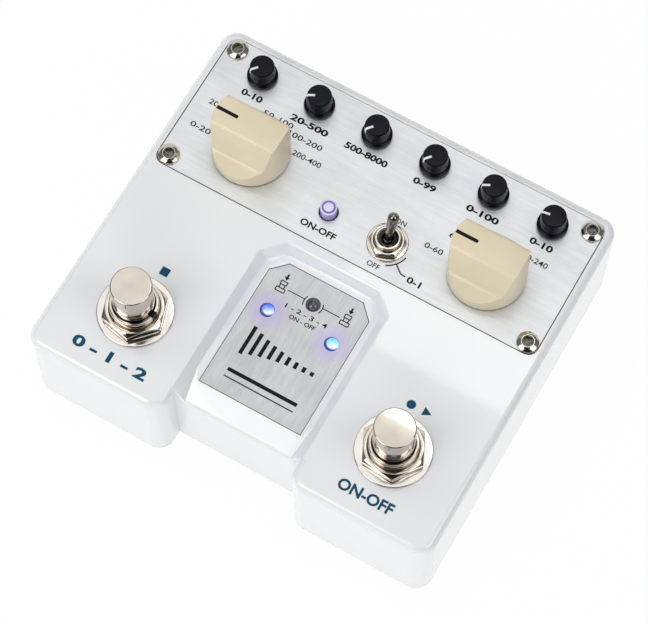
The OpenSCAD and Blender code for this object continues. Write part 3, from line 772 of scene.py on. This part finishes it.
# %% Footswitches in place
TOP = round(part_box("control_panel")[1].z / MM, 3)
WASHER = 0.8


def spot_of(node):
    """Middle of a node on the ground plan, in mm."""
    middle = middle_of(node) / MM
    return (round(middle.x, 3), round(middle.y, 3))


for side, nut_turn, key_turn in (("left", 48, -4), ("right", 56, 120)):
    node = "footswitch_" + side
    spot = spot_of(node + "_housing")
    disc = washer(node + "_washer_fine", 7.0, 10.65, WASHER, 0.15, 0.3, 128)
    stand_in(disc, washer_nickel, node + "_washer", (*spot, TOP))
    nut = hex_nut(node + "_nut_fine", 16.3, 3.3, 6.9, nut_turn)
    stand_in(nut, nickel, node + "_nut", (*spot, TOP + WASHER))
    stand_in(footswitch_housing(side, key_turn), nickel, node + "_housing", (*spot, 0))
    # painted shade: a black block fills the foot of the keyway, which is dark
    key = block(node + "_key", (6.3, 0, 42.3), (0.9, 1.95, 2.6), 0.1)
    dress(key, black_gloss, node + "_housing", (*spot, 0), (0, 0, key_turn))
    cap = turned(node + "_cap_fine", cap_shape, 128)
    stand_in(cap, cap_nickel, node + "_button", (*spot, 0))
    spring = return_spring(node + "_spring_fine")
    stand_in(spring, spring_steel, node + "_spring", (*spot, 0))
    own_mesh(spring)
print("Footswitch nut faces:", len(nut.data.polygons), "cap faces:", len(cap.data.polygons))

# %% [markdown]
# ## Toggle switch
# A smaller switch of the same family: round washer, hexagon nut, threaded bushing, and a bat
# lever that leans on a ball. A black ring in the bushing keeps the bore dark round the lever and
# leaves it room to swing. The lever is one turned outline, from the tail in the switch through the
# ball and the slim neck to the round tip. It is tipped back last.

# %% Toggle pieces
TOGGLE = spot_of("toggle_housing")
TOGGLE_WASHER = 0.6
LEAN = 17


def round_end(radius, height, start, end):
    """Outline points on a ball, every ten degrees from its equator."""
    angles = [math.radians(angle) for angle in range(start, end, 10)]
    return [(radius * math.cos(a), height + radius * math.sin(a)) for a in angles]


disc = washer("toggle_washer_fine", 3.85, 5.85, TOGGLE_WASHER, 0.12, 0.25, 96)
stand_in(disc, nickel, "toggle_washer", (*TOGGLE, TOP))
nut = hex_nut("toggle_nut_fine", 9.3, 1.8, 3.75, 20)
stand_in(nut, nickel, "toggle_nut", (*TOGGLE, TOP + TOGGLE_WASHER))

bushing_shape = [(2.5, 33.5), (3.5, 33.5), *thread(3.75, 34, 39.8, 0.5, 0.2), *eased(
    [(3.5, 39.9), (3.75, 40.0), (3.75, 40.7, 0.4), (3.05, 40.7, 0.1), (2.5, 40.2, 0.1), (2.5, 39)])]
bushing = ring("bushing", bushing_shape, 96)
body = block("body", (0, 0, 30.5), (8.6, 13, 7), 0.3)
drill(body, 2.5, 28.4, 40)
stand_in(joined("toggle_housing_fine", [bushing, body]), nickel, "toggle_housing", (*TOGGLE, 0))

# a black ring round the lever that keeps the bore of the bushing dark
dark_ring_shape = eased([(1.75, 37.2), (2.45, 37.2), (2.45, 40.15, 0.2), (1.75, 40.0, 0.2)])
dark_ring = ring("toggle_dark_ring", dark_ring_shape, 64)
dress(dark_ring, black_plastic, "toggle_housing", (*TOGGLE, 0))

lever_shape = [(0, -5), (0.6, -5), (0.8, -4.8), *round_end(1.5, 0, -60, 41), (1.15, 1.85), (1.2, 2.4),
               (1.3, 5), *round_end(1.6, 9.6, 0, 90), (0, 11.2)]
lever = turned("toggle_lever_fine", lever_shape, 64)
stand_in(lever, lever_chrome, "toggle_lever", (*TOGGLE, TOP + 2), (-LEAN, 0, 0))

# %% [markdown]
# ## Push button
# A small milky cap with a ring groove on its face. Light caught in the plastic makes the groove
# look violet. The groove is turned, and the violet is laid on by distance from the button's own
# axis, so it stays in the groove.

# %% Push button
BUTTON = spot_of("stereo_button_body")


def milky_cap():
    material, shader, where = finish("milky button cap", Subsurface_Weight=0.2,
                                     Subsurface_Scale=0.001)
    z = where.parts()[2]
    out = where.off_axis(BUTTON[0] * MM, BUTTON[1] * MM)
    in_groove = (out > 1.4 * MM) * (out < 1.98 * MM) * (z > 39.6 * MM)
    cloud = where.noise(900, 2)
    violet = in_groove * 0.75 + cloud * 0.1 + (z < 39.9 * MM) * 0.35
    wire_up(shader,
            Base_Color=violet.ramp((0.05, (0.77, 0.74, 0.97)), (0.45, (0.3, 0.28, 0.48)),
                                   (0.8, (0.24, 0.19, 0.68))),
            Roughness=0.2 + cloud * 0.1)
    return material


button_shape = eased([(0, 29.2), (1.5, 29.2, 0.2), (1.5, 32.9), (3.35, 32.9, 0.1), (3.35, 33.7, 0.1),
                      (2.35, 33.7), (2.35, 40.3, 0.35), (1.94, 40.3), (1.88, 40.05), (1.5, 40.05),
                      (1.44, 40.3), (0, 40.36)])
button = turned("stereo_button_cap_fine", button_shape, 64)
stand_in(button, milky_cap(), "stereo_button_cap", (*BUTTON, 0))
print("Button faces:", len(button.data.polygons))

# %% [markdown]
# ## Small knobs
# Six moulded knobs with a thin skirt, a slightly tapered body and a flat top. A white line runs
# from near the middle over the edge and a little way down the side. It is a thin inlay of its own
# that rides with the knob, so it turns with the control.

# %% Small knobs
KNOB_Z = TOP + 0.5
KNOB_TURNS = {"dry": 229, "low_cut": 208, "high_cut": 230, "time": 230, "feedback": 208, "wet": 189}
knob_shape = eased([(0, 4.8), (2.0, 4.8), (2.0, 0), (4.4, 0, 0.1), (4.4, 1.0, 0.15), (3.74, 1.3, 0.06),
                    (3.48, 5.95, 0.18), (3.2, 6.2, 0.1), (0, 6.2)])
line_shape = [(1.2, 6.1), (1.2, 6.225), (3.16, 6.225), (3.38, 6.1), (3.52, 5.85), (3.61, 4.2),
              (3.45, 4.2), (3.3, 5.8), (3.05, 6.1)]
knob_master = turned("knob", knob_shape, 72)
line_master = slab("knob line", [(x, -0.33, z) for x, z in line_shape], (0, 0.66, 0))
for control, turn in KNOB_TURNS.items():
    node = control + "_knob"
    place = (*spot_of(node), KNOB_Z)
    stand_in(twin(knob_master, node + "_fine"), black_gloss, node, place)
    dress(twin(line_master, node + "_line"), white_ink, node, place, (0, 0, turn))
for master in (knob_master, line_master):
    bpy.data.objects.remove(master)
print("Small knobs:", list(KNOB_TURNS))

# %% [markdown]
# ## Selector knobs
# The two big ivory knobs have a grip bar across a round base. Seen from the end, the section has
# steep sides over two sloping shoulders, with a narrow ledge between. So the section is drawn,
# pushed out along the bar and trimmed to a slim cone. The blunt end leans in a little, and all edges
# are broken. A black line lies on the bar from the middle to the pointing end.

# %% Selector knobs


def grip_side(rim):
    """Half the section of the grip, from the rim of the base over the ledge to the top."""
    return [(11.5, 0), (11.5, rim), (8.25, 6.85, 0.3), (7.45, 7.1, 0.3), (4.75, 16.6, 1.0)]


section = eased(grip_side(2.73) + mirrored(grip_side(1.2)))
knob_master = slab("selector", [(-12, y, z) for y, z in section], (24, 0, 0))
trim = turned("trim", [(0, 0), (11.1, 0), (11.1, 3), (10.7, 18), (0, 18)], 128)
carve(knob_master, trim, "INTERSECT")
tail = [(-11.2, 7), (-9.9, 17.5), (-14, 17.5), (-14, 7)]
carve(knob_master, slab("tail", [(x, -15, z) for x, z in tail], (0, 30, 0)))
soften(knob_master, 0.4, 4, 28)
drill(knob_master, 3, -1, 12, 48)
line_shape = eased([(3.7, -0.53, 0.5), (10.4, -0.53), (10.4, 0.53), (3.7, 0.53, 0.5)])
line_master = flat_slab("selector line", line_shape, 16.5, 16.62)
for control in ("type", "mode"):
    place = (*spot_of(control + "_selector_body"), KNOB_Z)
    node = control + "_selector_knob"
    stand_in(twin(knob_master, node + "_fine"), ivory, node, place, (0, 0, 180), smooth=25)
    dress(twin(line_master, control + "_selector_line"), black_ink, node, place, (0, 0, 180))
print("Selector knob faces:", len(knob_master.data.polygons))
for master in (knob_master, line_master):
    bpy.data.objects.remove(master)

# %% [markdown]
# ## Screws and feet
# The panel is held by four domed screws with a hexagon socket and a fine turned ring round it. The
# bottom has six pan-head screws with a cross recess, and four rubber feet with a dimple from the
# mould. Each is modelled once, copied to its places and joined, because one node holds them all.

# %% Screws and feet
SCREW_X = 56.55
SCREW_YS = (-49.7, 9.55, 47.25)
FOOT_X, FOOT_YS = 50.5, (-38.2, 37.2)


def socket_steel():
    """Screw steel with rough sockets, as punched, darkened by painted shade; the heads are polished."""
    material, shader, where = finish("socket screw steel", Metallic=1.0)
    x, y = where.parts()[:2]
    beside = abs(x) - SCREW_X * MM
    middle = (SCREW_YS[1] + SCREW_YS[2]) / 2 * MM
    along = abs(y - middle) - (SCREW_YS[2] * MM - middle)
    # painted shade: the sockets are darkened in the colour
    in_socket = (beside ** 2 + along ** 2) ** 0.5 < 1.6 * MM
    smear = where.noise(1700, 3)
    tone = smear * 0.3 + in_socket * 0.7
    wire_up(shader,
            Base_Color=tone.ramp((0.05, (0.6, 0.58, 0.53)), (0.25, (0.5, 0.48, 0.43)),
                                 (0.8, (0.055, 0.05, 0.046)), (0.9, (0.29, 0.275, 0.25))),
            Roughness=0.09 + smear * 0.06 + in_socket * 0.3)
    return material


head_shape = [(0, -8), (1.0, -8), *thread(1.45, -7.6, -0.4, 0.5, 0.2), (1.45, 0), (3.05, 0),
              *eased([(3.1, 0.1), (3.1, 0.72, 0.12), (2.5, 1.05, 1.2), (1.84, 1.32, 0.06), (1.68, 1.32, 0.06),
                      (1.5, 1.1), (0, 1.1)])]
screw_master = turned("screw", head_shape, 64)
carve(screw_master, hex_bar("socket", 1.5, 0.15, 2.15))
soften(screw_master, 0.06, 2, 40)
places = [(x, y, TOP) for x in (-SCREW_X, SCREW_X) for y in SCREW_YS[1:]]
spread(screw_master, socket_steel(), "panel_screws", places, twist=17)

pan_shape = eased([(0, 11.5), (1.0, 11.5), (1.45, 11.0), (1.45, 2.0), (2.7, 2.0, 0.05), (2.7, 1.35, 0.3),
                   (2.2, 0.8, 0.3), (0, 0.8)])
pan_master = turned("pan screw", pan_shape, 48)
for turn in (0, 90):
    slot_cutter = block("slot", (0, 0, 0.9), (2.8, 0.6, 1.2), 0.05)
    carve(pan_master, settle(slot_cutter, turn=(0, 0, turn)))
places = [(x, y, 0) for x in (-SCREW_X, SCREW_X) for y in SCREW_YS]
spread(pan_master, screw_steel, "bottom_screws", places, twist=23)

foot_shape = eased([(0, 0.5), (1.3, 0.5, 0.3), (1.8, 0, 0.3), (4.3, 0, 0.4), (5.0, 0.7, 0.4), (5.0, 2),
                    (0, 2)])
places = [(x, y, 0) for x in (-FOOT_X, FOOT_X) for y in FOOT_YS]
spread(turned("foot", foot_shape, 48), foot_rubber, "rubber_feet", places)
print("Panel screws 4, bottom screws 6, feet 4")

# %% [markdown]
# ## Sockets in the back wall
# Four jack sockets come through the back, each with a threaded nose, a washer and a nut, and the
# round power socket sits between them with its pin. All are turned along Z like the rest, and then
# tipped so that their axis points out of the back.

# %% Sockets in the back
JACK_XS = (-46, -26, 26, 46)
JACK_Z = round(middle_of("jack_nuts").z / MM, 3)
BACK = round(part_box("enclosure_shell")[1].y / MM, 3)
JACK_WASHER = 0.7

nose_shape = [(3.25, 49.8), (4.34, 49.8), *thread(4.6, 50.4, 56.6, 0.6), (4.35, 56.7), (4.35, 56.9),
              (4.1, 57.2), (3.6, 57.2), (3.25, 56.8)]
nose = ring("nose", nose_shape, 72)
jack_box = block("socket box", (0, 0, 40.8), (13, 13, 20), 0.5)
drill(jack_box, 3.25, 32.8, 60)
jack = joined("jack", [nose, jack_box])
disc = washer("jack washer", 4.7, 6.7, JACK_WASHER, 0.1, 0.2, 72)
nut = hex_nut("jack nut", 12, 2.3, 4.6, 0)
for master, coat, node, y in ((jack, black_plastic, "jack_sockets", 0),
                              (disc, nickel, "jack_washers", BACK),
                              (nut, nickel, "jack_nuts", BACK + JACK_WASHER)):
    spread(master, coat, node, [(x, y, JACK_Z) for x in JACK_XS], tip=-90)

barrel = turned("barrel", eased([(0, 43.6), (4.35, 43.6), (4.35, 53.2, 0.15), (3.1, 53.2, 0.1),
                                 (2.85, 52.9), (2.85, 44.2), (0, 44.2)]), 64)
power_box = block("power box", (0, -0.5, 44.3), (10, 12, 13), 0.4)
drill(power_box, 4.0, 43.9, 60, 64)
power = joined("power_socket_fine", [barrel, power_box])
stand_in(power, black_plastic, "power_socket", (0, 0, JACK_Z), (-90, 0, 0))
pin = turned("power_pin", eased([(0, 44), (1.0, 44), (1.0, 52.2, 0.5), (0, 52.2)]), 32)
dress(pin, nickel, "power_socket", (0, 0, JACK_Z), (-90, 0, 0))
print("Jack sockets:", len(JACK_XS))

# %% [markdown]
# ## Trough of the casting
# Beside the badge the casting has a narrow lip, then a gentle slope, a crease, and a steeper wall up
# to a round rim. The solid of the case has a plain step there, so the real section is milled out.
# The first cutter is what four long bars have in common: one has the flanks for both legs, one the
# flank for the back and two the flanks for the corners. The second cutter clears the front, where
# the floor falls away.

# %% Trough cutters
LIP = 33.55
BEVEL_FRONT, BEVEL_BACK = Vector((-49.5, 31.3)), Vector((-38.84, 34.8))


def bevel_height(y):
    """Height of the sloping front of the trough, on the line from its front to its back."""
    run, rise = BEVEL_BACK - BEVEL_FRONT
    return BEVEL_FRONT.y + (y - BEVEL_FRONT.x) * rise / run


def flank(lip, crease, crease_z, rim, soft, spare=0.0):
    """Half section of a cutter bar: from the lip over the crease up to the rim, and out."""
    drop = spare * (crease - lip) / (crease_z - LIP)
    return [(lip - drop, LIP - spare), (crease, crease_z, 0.5), (rim, TOP + 0.02, soft),
            (rim + 3, TOP + 0.02), (rim + 3, TOP + 1 + spare)]


def leg_bar(half, front, back):
    """A bar along Y with the same flank on both sides."""
    section = eased(half + mirrored(half), 8)
    return slab("cutter", [(x, front, z) for x, z in section], (0, back - front, 0))


LEG_WALL = (16.4, 17.9, 34.5, 20.35, 0.9)
BACK_WALL = (-0.4, 0.95, 34.1, 2.9, 1.7)
CORNER_WALL = (8.9, 10.25, 34.3, 12.4, 1.2)
cutter = leg_bar(flank(*LEG_WALL), -60, 15)
for turn, spare, wall in ((0, 0.1, BACK_WALL), (-45, 0.15, CORNER_WALL), (45, 0.2, CORNER_WALL)):
    half = eased([*flank(*wall, spare), (-75, TOP + 1 + spare), (-75, LIP - spare)], 8)
    beam = slab("beam", [(-70, y, z) for y, z in half], (140, 0, 0))
    carve(cutter, settle(beam, turn=(0, 0, turn)), "INTERSECT")
front_cutter = leg_bar([(16.1, 30.5), *flank(*LEG_WALL)[1:]], -60, -30)
over_bevel = [(y, bevel_height(y) + 0.01) for y in (-36, -60)] + [(-60, TOP + 3), (-36, TOP + 3)]
carve(front_cutter, slab("over bevel", [(-30, y, z) for y, z in over_bevel], (60, 0, 0)), "INTERSECT")
print("Cutter faces:", len(cutter.data.polygons), "front:", len(front_cutter.data.polygons))

# %% [markdown]
# ## Milled case
# The solid itself stays as it is, so a copy of it is worked on. Its loose triangles are merged, the
# rim of its trough is filled up to the top, and then both cutters go through. Last come weighted
# normals, which keep the large flat faces flat beside the small round ones.

# %% Milled case
case = bpy.data.objects.new("enclosure_shell_fine", nodes["enclosure_shell"].data.copy())
bpy.context.scene.collection.objects.link(case)
pick(case)
bpy.ops.mesh.customdata_custom_splitnormals_clear()
bpy.ops.object.mode_set(mode="EDIT")
close_up(case)
side_view = [(5.5, 33.1), (5.5, TOP - 0.003), (-49.3, TOP - 0.003), (-49.3, 30.1), (-42.8, 32.3),
             (-42.8, 33.1)]
filling = slab("filling", [(-21.85, y, z) for y, z in side_view], (43.7, 0, 0))
outer = [(21.9, -60), (21.9, -1.2), (15.2, 5.6)]
carve(filling, flat_slab("outer", outer + mirrored(outer), 20, 50), "INTERSECT")
inner = [(16.5, -60), (16.5, -4.9), (12.0, -0.4)]
carve(filling, flat_slab("inner", inner + mirrored(inner), 20, 50))
carve(case, filling, "UNION")
carve(case, cutter)
carve(case, front_cutter)
stand_in(case, white_paint, "enclosure_shell")
reshape(case, "WEIGHTED_NORMAL", keep_sharp=True, weight=100)
print("Case faces:", len(case.data.polygons))

# %% [markdown]
# ## Dark seams
# The panel and the badge lie in pockets with a hair of room round them, and that room reads as a
# thin black line of shade. White paint inside such a gap would light it up, so each gap gets a black
# band of painted shade, a little lower than the surface: a wall drawn along the edge and thickened.
# The panel's back edge has none, because light falls into the gap there.

# %% Seam shade bands
HALF_GAP = 0.075


def seam_line(node):
    """The middle of the gap round a plate: its right, its front and its back, in mm."""
    low, high = [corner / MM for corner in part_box(node)]
    return high.x + HALF_GAP, low.y - HALF_GAP, high.y + HALF_GAP


# a black band of painted shade in the gap round a plate
def seam_shade_band(name, outline, low, high, thick, node):
    """A thin upright band along an outline."""
    shade_band = drawn(name, [(x, y, low) for x, y in outline])
    extrude((0, 0, (high - low) * MM))
    reshape(close_up(shade_band), "SOLIDIFY", thickness=thick * MM, offset=0)
    dress(shade_band, black_plastic, node)


CORNER = 3.275
PANEL_X, PANEL_FRONT, PANEL_BACK = seam_line("control_panel")
panel_edge = eased([(-PANEL_X, PANEL_BACK - CORNER), (-PANEL_X, PANEL_FRONT, CORNER),
                    (PANEL_X, PANEL_FRONT, CORNER), (PANEL_X, PANEL_BACK - CORNER)], 10)
seam_shade_band("panel_seam_shade", panel_edge, TOP - 1.4, TOP + 0.01, 0.3, "control_panel")

BADGE_CUT = 4.23
BADGE_TOP = round(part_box("badge_plate")[1].z / MM, 3)
BADGE_X, BADGE_FRONT, BADGE_BACK = seam_line("badge_plate")
half = [(BADGE_X, BADGE_FRONT), (BADGE_X, BADGE_BACK - BADGE_CUT), (BADGE_X - BADGE_CUT, BADGE_BACK)]
badge_edge = half + mirrored(half) + half[:1]
seam_shade_band("badge_seam_shade", badge_edge, BADGE_TOP - 0.9, BADGE_TOP + 0.01, 0.28, "badge_plate")
print("Seams round the panel and the badge")

# %% [markdown]
# ## Printing
# All marks are screen printed. Ink stands a few hundredths of a millimetre proud, so each mark is
# a very thin solid on its surface. Words are text objects turned into meshes and centred by their
# own bounds. Signs are flat slabs. What is printed is plain: numbers for the positions and ranges
# of the controls, ON and OFF, arrows and simple signs. One sheet of marks becomes one piece.

# %% Printing helpers
INK = 0.03
LETTER_WELD = 0.0001


def lettering(words, x, y, surface, tall, bold, wide=None):
    """Text of a height in mm, centred on a place, squeezed or stretched to a width if given."""
    start_fresh()
    bpy.ops.object.text_add(location=(0, 0, 0))
    text = bpy.context.object
    text.data.body = words
    text.data.size = 1.0
    text.data.offset = bold
    text.data.resolution_u = 3
    bpy.ops.object.convert(target="MESH")
    mark = bpy.context.object
    xs = [v.co.x for v in mark.data.vertices]
    ys = [v.co.y for v in mark.data.vertices]
    rise = tall * MM / (max(ys) - min(ys))
    stretch = wide * MM / (max(xs) - min(xs)) if wide else rise
    bpy.ops.object.mode_set(mode="EDIT")
    bpy.ops.mesh.select_all(action="SELECT")
    bpy.ops.transform.translate(value=(-(max(xs) + min(xs)) / 2, -(max(ys) + min(ys)) / 2, 0))
    bpy.ops.mesh.remove_doubles(threshold=LETTER_WELD)
    extrude((0, 0, 1))
    close_up(mark)
    mark.scale = (stretch, rise, INK * MM)
    return settle(mark, (x, y, surface))


def sign(outline, surface):
    """A flat printed shape."""
    return flat_slab("sign", outline, surface, surface + INK)


def bar(x, y, wide, tall, surface):
    """A printed rectangle, by its middle."""
    half = [(wide / 2, -tall / 2), (wide / 2, tall / 2)]
    return sign([(x + right, y + back) for right, back in half + mirrored(half)], surface)


def stroke(points, thick, surface):
    """A printed line through points: its two edges are found from the corner directions."""
    line = [Vector(point) for point in points]
    left, right = [], []
    for index, here in enumerate(line):
        before = line[max(index - 1, 0)]
        after = line[min(index + 1, len(line) - 1)]
        into = (here - before).normalized() if index else (after - here).normalized()
        away = (after - here).normalized() if index < len(line) - 1 else into
        normal = (into + away).normalized().orthogonal()
        normal *= thick / 2 / max(normal.dot(into.orthogonal()), 0.3)
        left.append(here + normal)
        right.append(here - normal)
    return sign([*left, *reversed(right)], surface)


def arc(x, y, radius, start, end, steps=12):
    """Points along part of a circle, angles in degrees."""
    angles = [math.radians(start + (end - start) * step / steps) for step in range(steps + 1)]
    return [(x + radius * math.cos(a), y + radius * math.sin(a)) for a in angles]


print("Printing helpers ready")

# %% [markdown]
# ## Marks on the panel
# Below each small knob stands its range, round each selector stand the ranges of its positions, and
# the button and the toggle have ON and OFF. A fine line leads from the toggle to its other label.

# %% Panel printing
KNOB_LABELS = (("0-10", -45.75, 6.6), ("20-500", -27.14, 11.8), ("500-8000", -8.92, 13.4),
               ("0-99", 9.62, 7.0), ("0-100", 27.9, 10.0), ("0-10", 46.24, 7.0))
SELECTOR_LABELS = (("0-20", -53.2, 21.1, 6.4), ("20-50", -52.0, 29.6, 6.6), ("50-100", -35.6, 34.1, 9.5),
                   ("100-200", -25.7, 32.1, 10.6), ("200-400", -22.6, 27.4, 9.0),
                   ("0-60", 21.2, 21.2, 5.6), ("60", 24.6, 27.2, 3.4), ("120-240", 46.5, 31.8, 8.6))
LABEL_Y = 36.8
SWITCH_LABELS = (("OFF", 9.1, 8.7, 1.6, 0.012), ("ON", 9.5, 23.6, 1.6, 0.012),
                 ("0-1", 21.3, 9.7, 2.0, 0.03, 4.2), ("ON-OFF", -9.3, 10.5, 2.05, 0.03, 11.0))
marks = [lettering(words, x, LABEL_Y, TOP, 2.05, 0.035, wide) for words, x, wide in KNOB_LABELS]
marks += [lettering(words, x, y, TOP, 1.7, 0.01, wide) for words, x, y, wide in SELECTOR_LABELS]
marks += [lettering(words, x, y, TOP, *form) for words, x, y, *form in SWITCH_LABELS]
for points in (arc(*TOGGLE, 6.75, -66, -12), [(14.55, 12.05), (16.85, 10.1), (18.5, 9.9)]):
    marks.append(stroke(points, 0.38, TOP))
dress(joined("panel_printing", marks), black_ink, "control_panel")
print("Panel marks:", len(marks))

# %% [markdown]
# ## Marks on the legs
# In front of the footswitches stand large teal numbers and letters, and behind them a square, a dot
# and a triangle, drawn as flat slabs.

# %% Leg printing
marks = [lettering("0 - 1 - 2", -39.3, -50.2, TOP, 3.4, 0.04, 23.0),
         lettering("ON-OFF", 40.0, -50.1, TOP, 3.4, 0.03, 16.5),
         bar(-39.25, -21.35, 2.5, 2.5, TOP),
         sign(arc(37.9, -21.6, 1.3, 0, 345, 23), TOP),
         sign([(41.6, -22.9), (44.1, -21.6), (41.6, -20.3)], TOP)]
dress(joined("leg_printing", marks), teal_ink, "enclosure_shell")
print("Leg marks:", len(marks))

# %% [markdown]
# ## Marks on the badge
# At each side an arrow points to a little switch drawn in outline, and a line ties it to the arcs
# round the unlit lamp. In the middle a row of bars fades out, each one shorter by the same ratio, as
# echoes do, and two rules close the plate.

# %% Badge printing
LED_X = 10.1
ARROW = [(0.28, -3.95), (0.28, -4.9), (0.8, -4.9), (0, -5.9), (-0.8, -4.9), (-0.28, -4.9), (-0.28, -3.95)]
FRAMES = ((0.95, -7.4, -6.3), (0.7, -8.5, -7.4), (1.35, -9.6, -8.5))
BARS, BAR_X, BAR_Y, BAR_STEP = 9, -10.2, -26.2, 2.5
BAR_WIDE, BAR_TALL, BAR_SHRINK = 1.1, 9.0, 0.78
RULE_X = 10.8
marks = []
for side in (-1, 1):
    middle = side * LED_X
    marks.append(sign([(middle + x, y) for x, y in ARROW], BADGE_TOP))
    for half, low, high in FRAMES:
        left, right = middle - half, middle + half
        corners = [(left, low), (right, low), (right, high), (left, high)]
        for start, end in zip(corners, corners[1:] + corners[:1]):
            marks.append(stroke([start, end], 0.3, BADGE_TOP))
    marks.append(stroke([(side * 8.2, -8.1), (side * 2.95, -8.1)], 0.26, BADGE_TOP))
    marks.append(stroke(arc(0, -8.45, 2.85, 90 - side * 60, 90 - side * 120), 0.3, BADGE_TOP))
for words, y, wide in (("1 - 2 - 3 - 4", -12.2, 13.0), ("ON - OFF", -14.5, 8.0)):
    marks.append(lettering(words, 0, y, BADGE_TOP, 1.35, 0.02, wide))
for index in range(BARS):
    tall = BAR_TALL * BAR_SHRINK ** index
    marks.append(bar(BAR_X + index * BAR_STEP, BAR_Y, BAR_WIDE, tall, BADGE_TOP))
for y, thick in ((-36.0, 1.1), (-38.2, 0.35)):
    marks.append(stroke([(-RULE_X, y), (RULE_X, y)], thick, BADGE_TOP))
dress(joined("badge_printing", marks), black_ink, "badge_plate")
print("Badge marks:", len(marks))

# %% [markdown]
# ## Studio
# The photograph was taken on a white sweep. The floor is white to the camera and to the metal that
# mirrors it, and a soft diffuse white for the rest, so the shadow under the pedal stays faint. The
# room is a plain grey light. Polished metal, though, mirrors what stands in it: the white wall behind
# and the dark of the studio at the sides.

# %% Floor and world
bpy.context.scene.view_settings.view_transform = "Standard"

start_fresh()
bpy.ops.mesh.primitive_plane_add(size=20, location=(0, 0, 0))
floor = named(bpy.context.object, "floor")
sweep = bpy.data.materials.new("white sweep")
sweep.use_nodes = True
tree = sweep.node_tree
tree.nodes.clear()
start = Wire(tree)
seen = start.ray("Camera") + start.ray("Glossy") + start.ray("Transmission")
paper = start.node("ShaderNodeBsdfDiffuse", None, {"Color": (0.9, 0.9, 0.9, 1)})
white = start.node("ShaderNodeEmission", None, {"Color": (1, 1, 1, 1), "Strength": 1.0})
surface = start.node("ShaderNodeMixShader", None, {0: (seen > 0.5) * 0.97, 1: paper, 2: white})
start.node("ShaderNodeOutputMaterial", None, {"Surface": surface})
floor.data.materials.append(sweep)

ROOM, WALL_TOP = 0.28, 0.42
world = bpy.data.worlds.new("studio")
world.use_nodes = True
tree = world.node_tree
start = Wire(tree)
x, y, z = start.node("ShaderNodeTexCoord", None, None, "Generated").parts()
behind = y * 0.87 - x * 0.5
wall = behind.remapped(0.35, 0.6, 0.1, 1.0)
reflection = wall * (z < WALL_TOP) + (z > WALL_TOP) * 0.2
glossy = start.ray("Glossy")
wire_up(tree.nodes["Background"], Color=glossy * reflection + (1 - glossy) * ROOM)
bpy.context.scene.world = world
print("Floor and world ready")

# %% [markdown]
# ## Soft boxes
# One large box hangs overhead and behind, one stands in front on the left and one at the right, and
# they show as bright squares in the domed screws. A small top box and a narrow strip add lesser
# highlights, and fills that metal doesn't mirror lift the shaded sides. Each lit lamp also throws a
# little violet light on the white walls of the trough; the violet on the badge itself is painted
# into its colour.

# %% Soft boxes


def soft_box(name, place, facing, wide, deep, radiance):
    """Lamp with a flat face, by its place, the way it faces and the brightness of the face."""
    start_fresh()
    bpy.ops.object.light_add(type="AREA", location=place,
                             rotation=(-facing).to_track_quat("Z", "Y").to_euler())
    lamp = bpy.context.object
    lamp.name = name
    lamp.data.shape = "RECTANGLE"
    lamp.data.size = wide
    lamp.data.size_y = deep
    lamp.data.energy = radiance * math.pi * wide * deep
    lamp.visible_camera = False
    return lamp


def aimed_box(name, azimuth, elevation, distance, size, radiance):
    """Square soft box that faces the pedal, by its direction in degrees and its distance."""
    towards = direction(azimuth, elevation)
    return soft_box(name, AIM + towards * distance, -towards, size, size, radiance)


DOWN = Vector((0, 0, -1))
NEAR, FAR = 1.1, 1.3
GLOW = 0.00025
aimed_box("front left box", -32, 50, NEAR, 0.58, 3.0)
aimed_box("right box", 92, 50, NEAR, 0.58, 2.25)
soft_box("overhead scrim", (-0.2, 0.35, 1.0), DOWN, 0.9, 0.9, 0.97)
top_box = aimed_box("top box", -33, 70, NEAR, 0.26, 2.3)
top_box.data.color = (1.0, 0.98, 0.93)
soft_box("overhead strip", (0.0, 0.331, 0.95), DOWN, 0.36, 0.05, 3.2)
for side in (-1, 1):
    start_fresh()
    bpy.ops.object.light_add(type="POINT", location=Vector((side * LED_X, -15.9, 36.2)) * MM)
    glow = bpy.context.object
    glow.name = "lamp glow"
    glow.data.color = (0.5, 0.36, 1.0)
    glow.data.energy = GLOW
    glow.data.shadow_soft_size = 0.0012
    glow.visible_camera = False
    glow.visible_glossy = False
for name, azimuth, elevation, size, radiance in (
        ("low fill", 18, 10, 1.0, 2.45), ("left fill", -95, 16, 0.9, 1.7), ("front fill", 0, 32, 0.8, 0.3)):
    fill = aimed_box(name, azimuth, elevation, FAR, size, radiance)
    fill.visible_glossy = False

# %% [markdown]
# ## Black card
# Polished metal needs something dark to mirror, or it looks like plaster. As in a studio, a card of
# black felt stands behind the camera.

# %% Black card
CARD_SIZE, CARD_DISTANCE, CARD_ELEVATION = 1.8, 2.2, 55
start_fresh()
towards = direction(VIEW_AZIMUTH, CARD_ELEVATION)
bpy.ops.mesh.primitive_plane_add(size=CARD_SIZE, location=AIM + towards * CARD_DISTANCE,
                                 rotation=towards.to_track_quat("Z", "Y").to_euler())
card = named(bpy.context.object, "black card")
felt, felt_shader, felt_where = finish("black felt", Roughness=0.9)
wire_up(felt_shader, Base_Color=felt_where.noise(400, 2).between((0.01, 0.01, 0.01), (0.03, 0.03, 0.03)))
card.data.materials.append(felt)
print("Card at", [round(v, 2) for v in card.location])
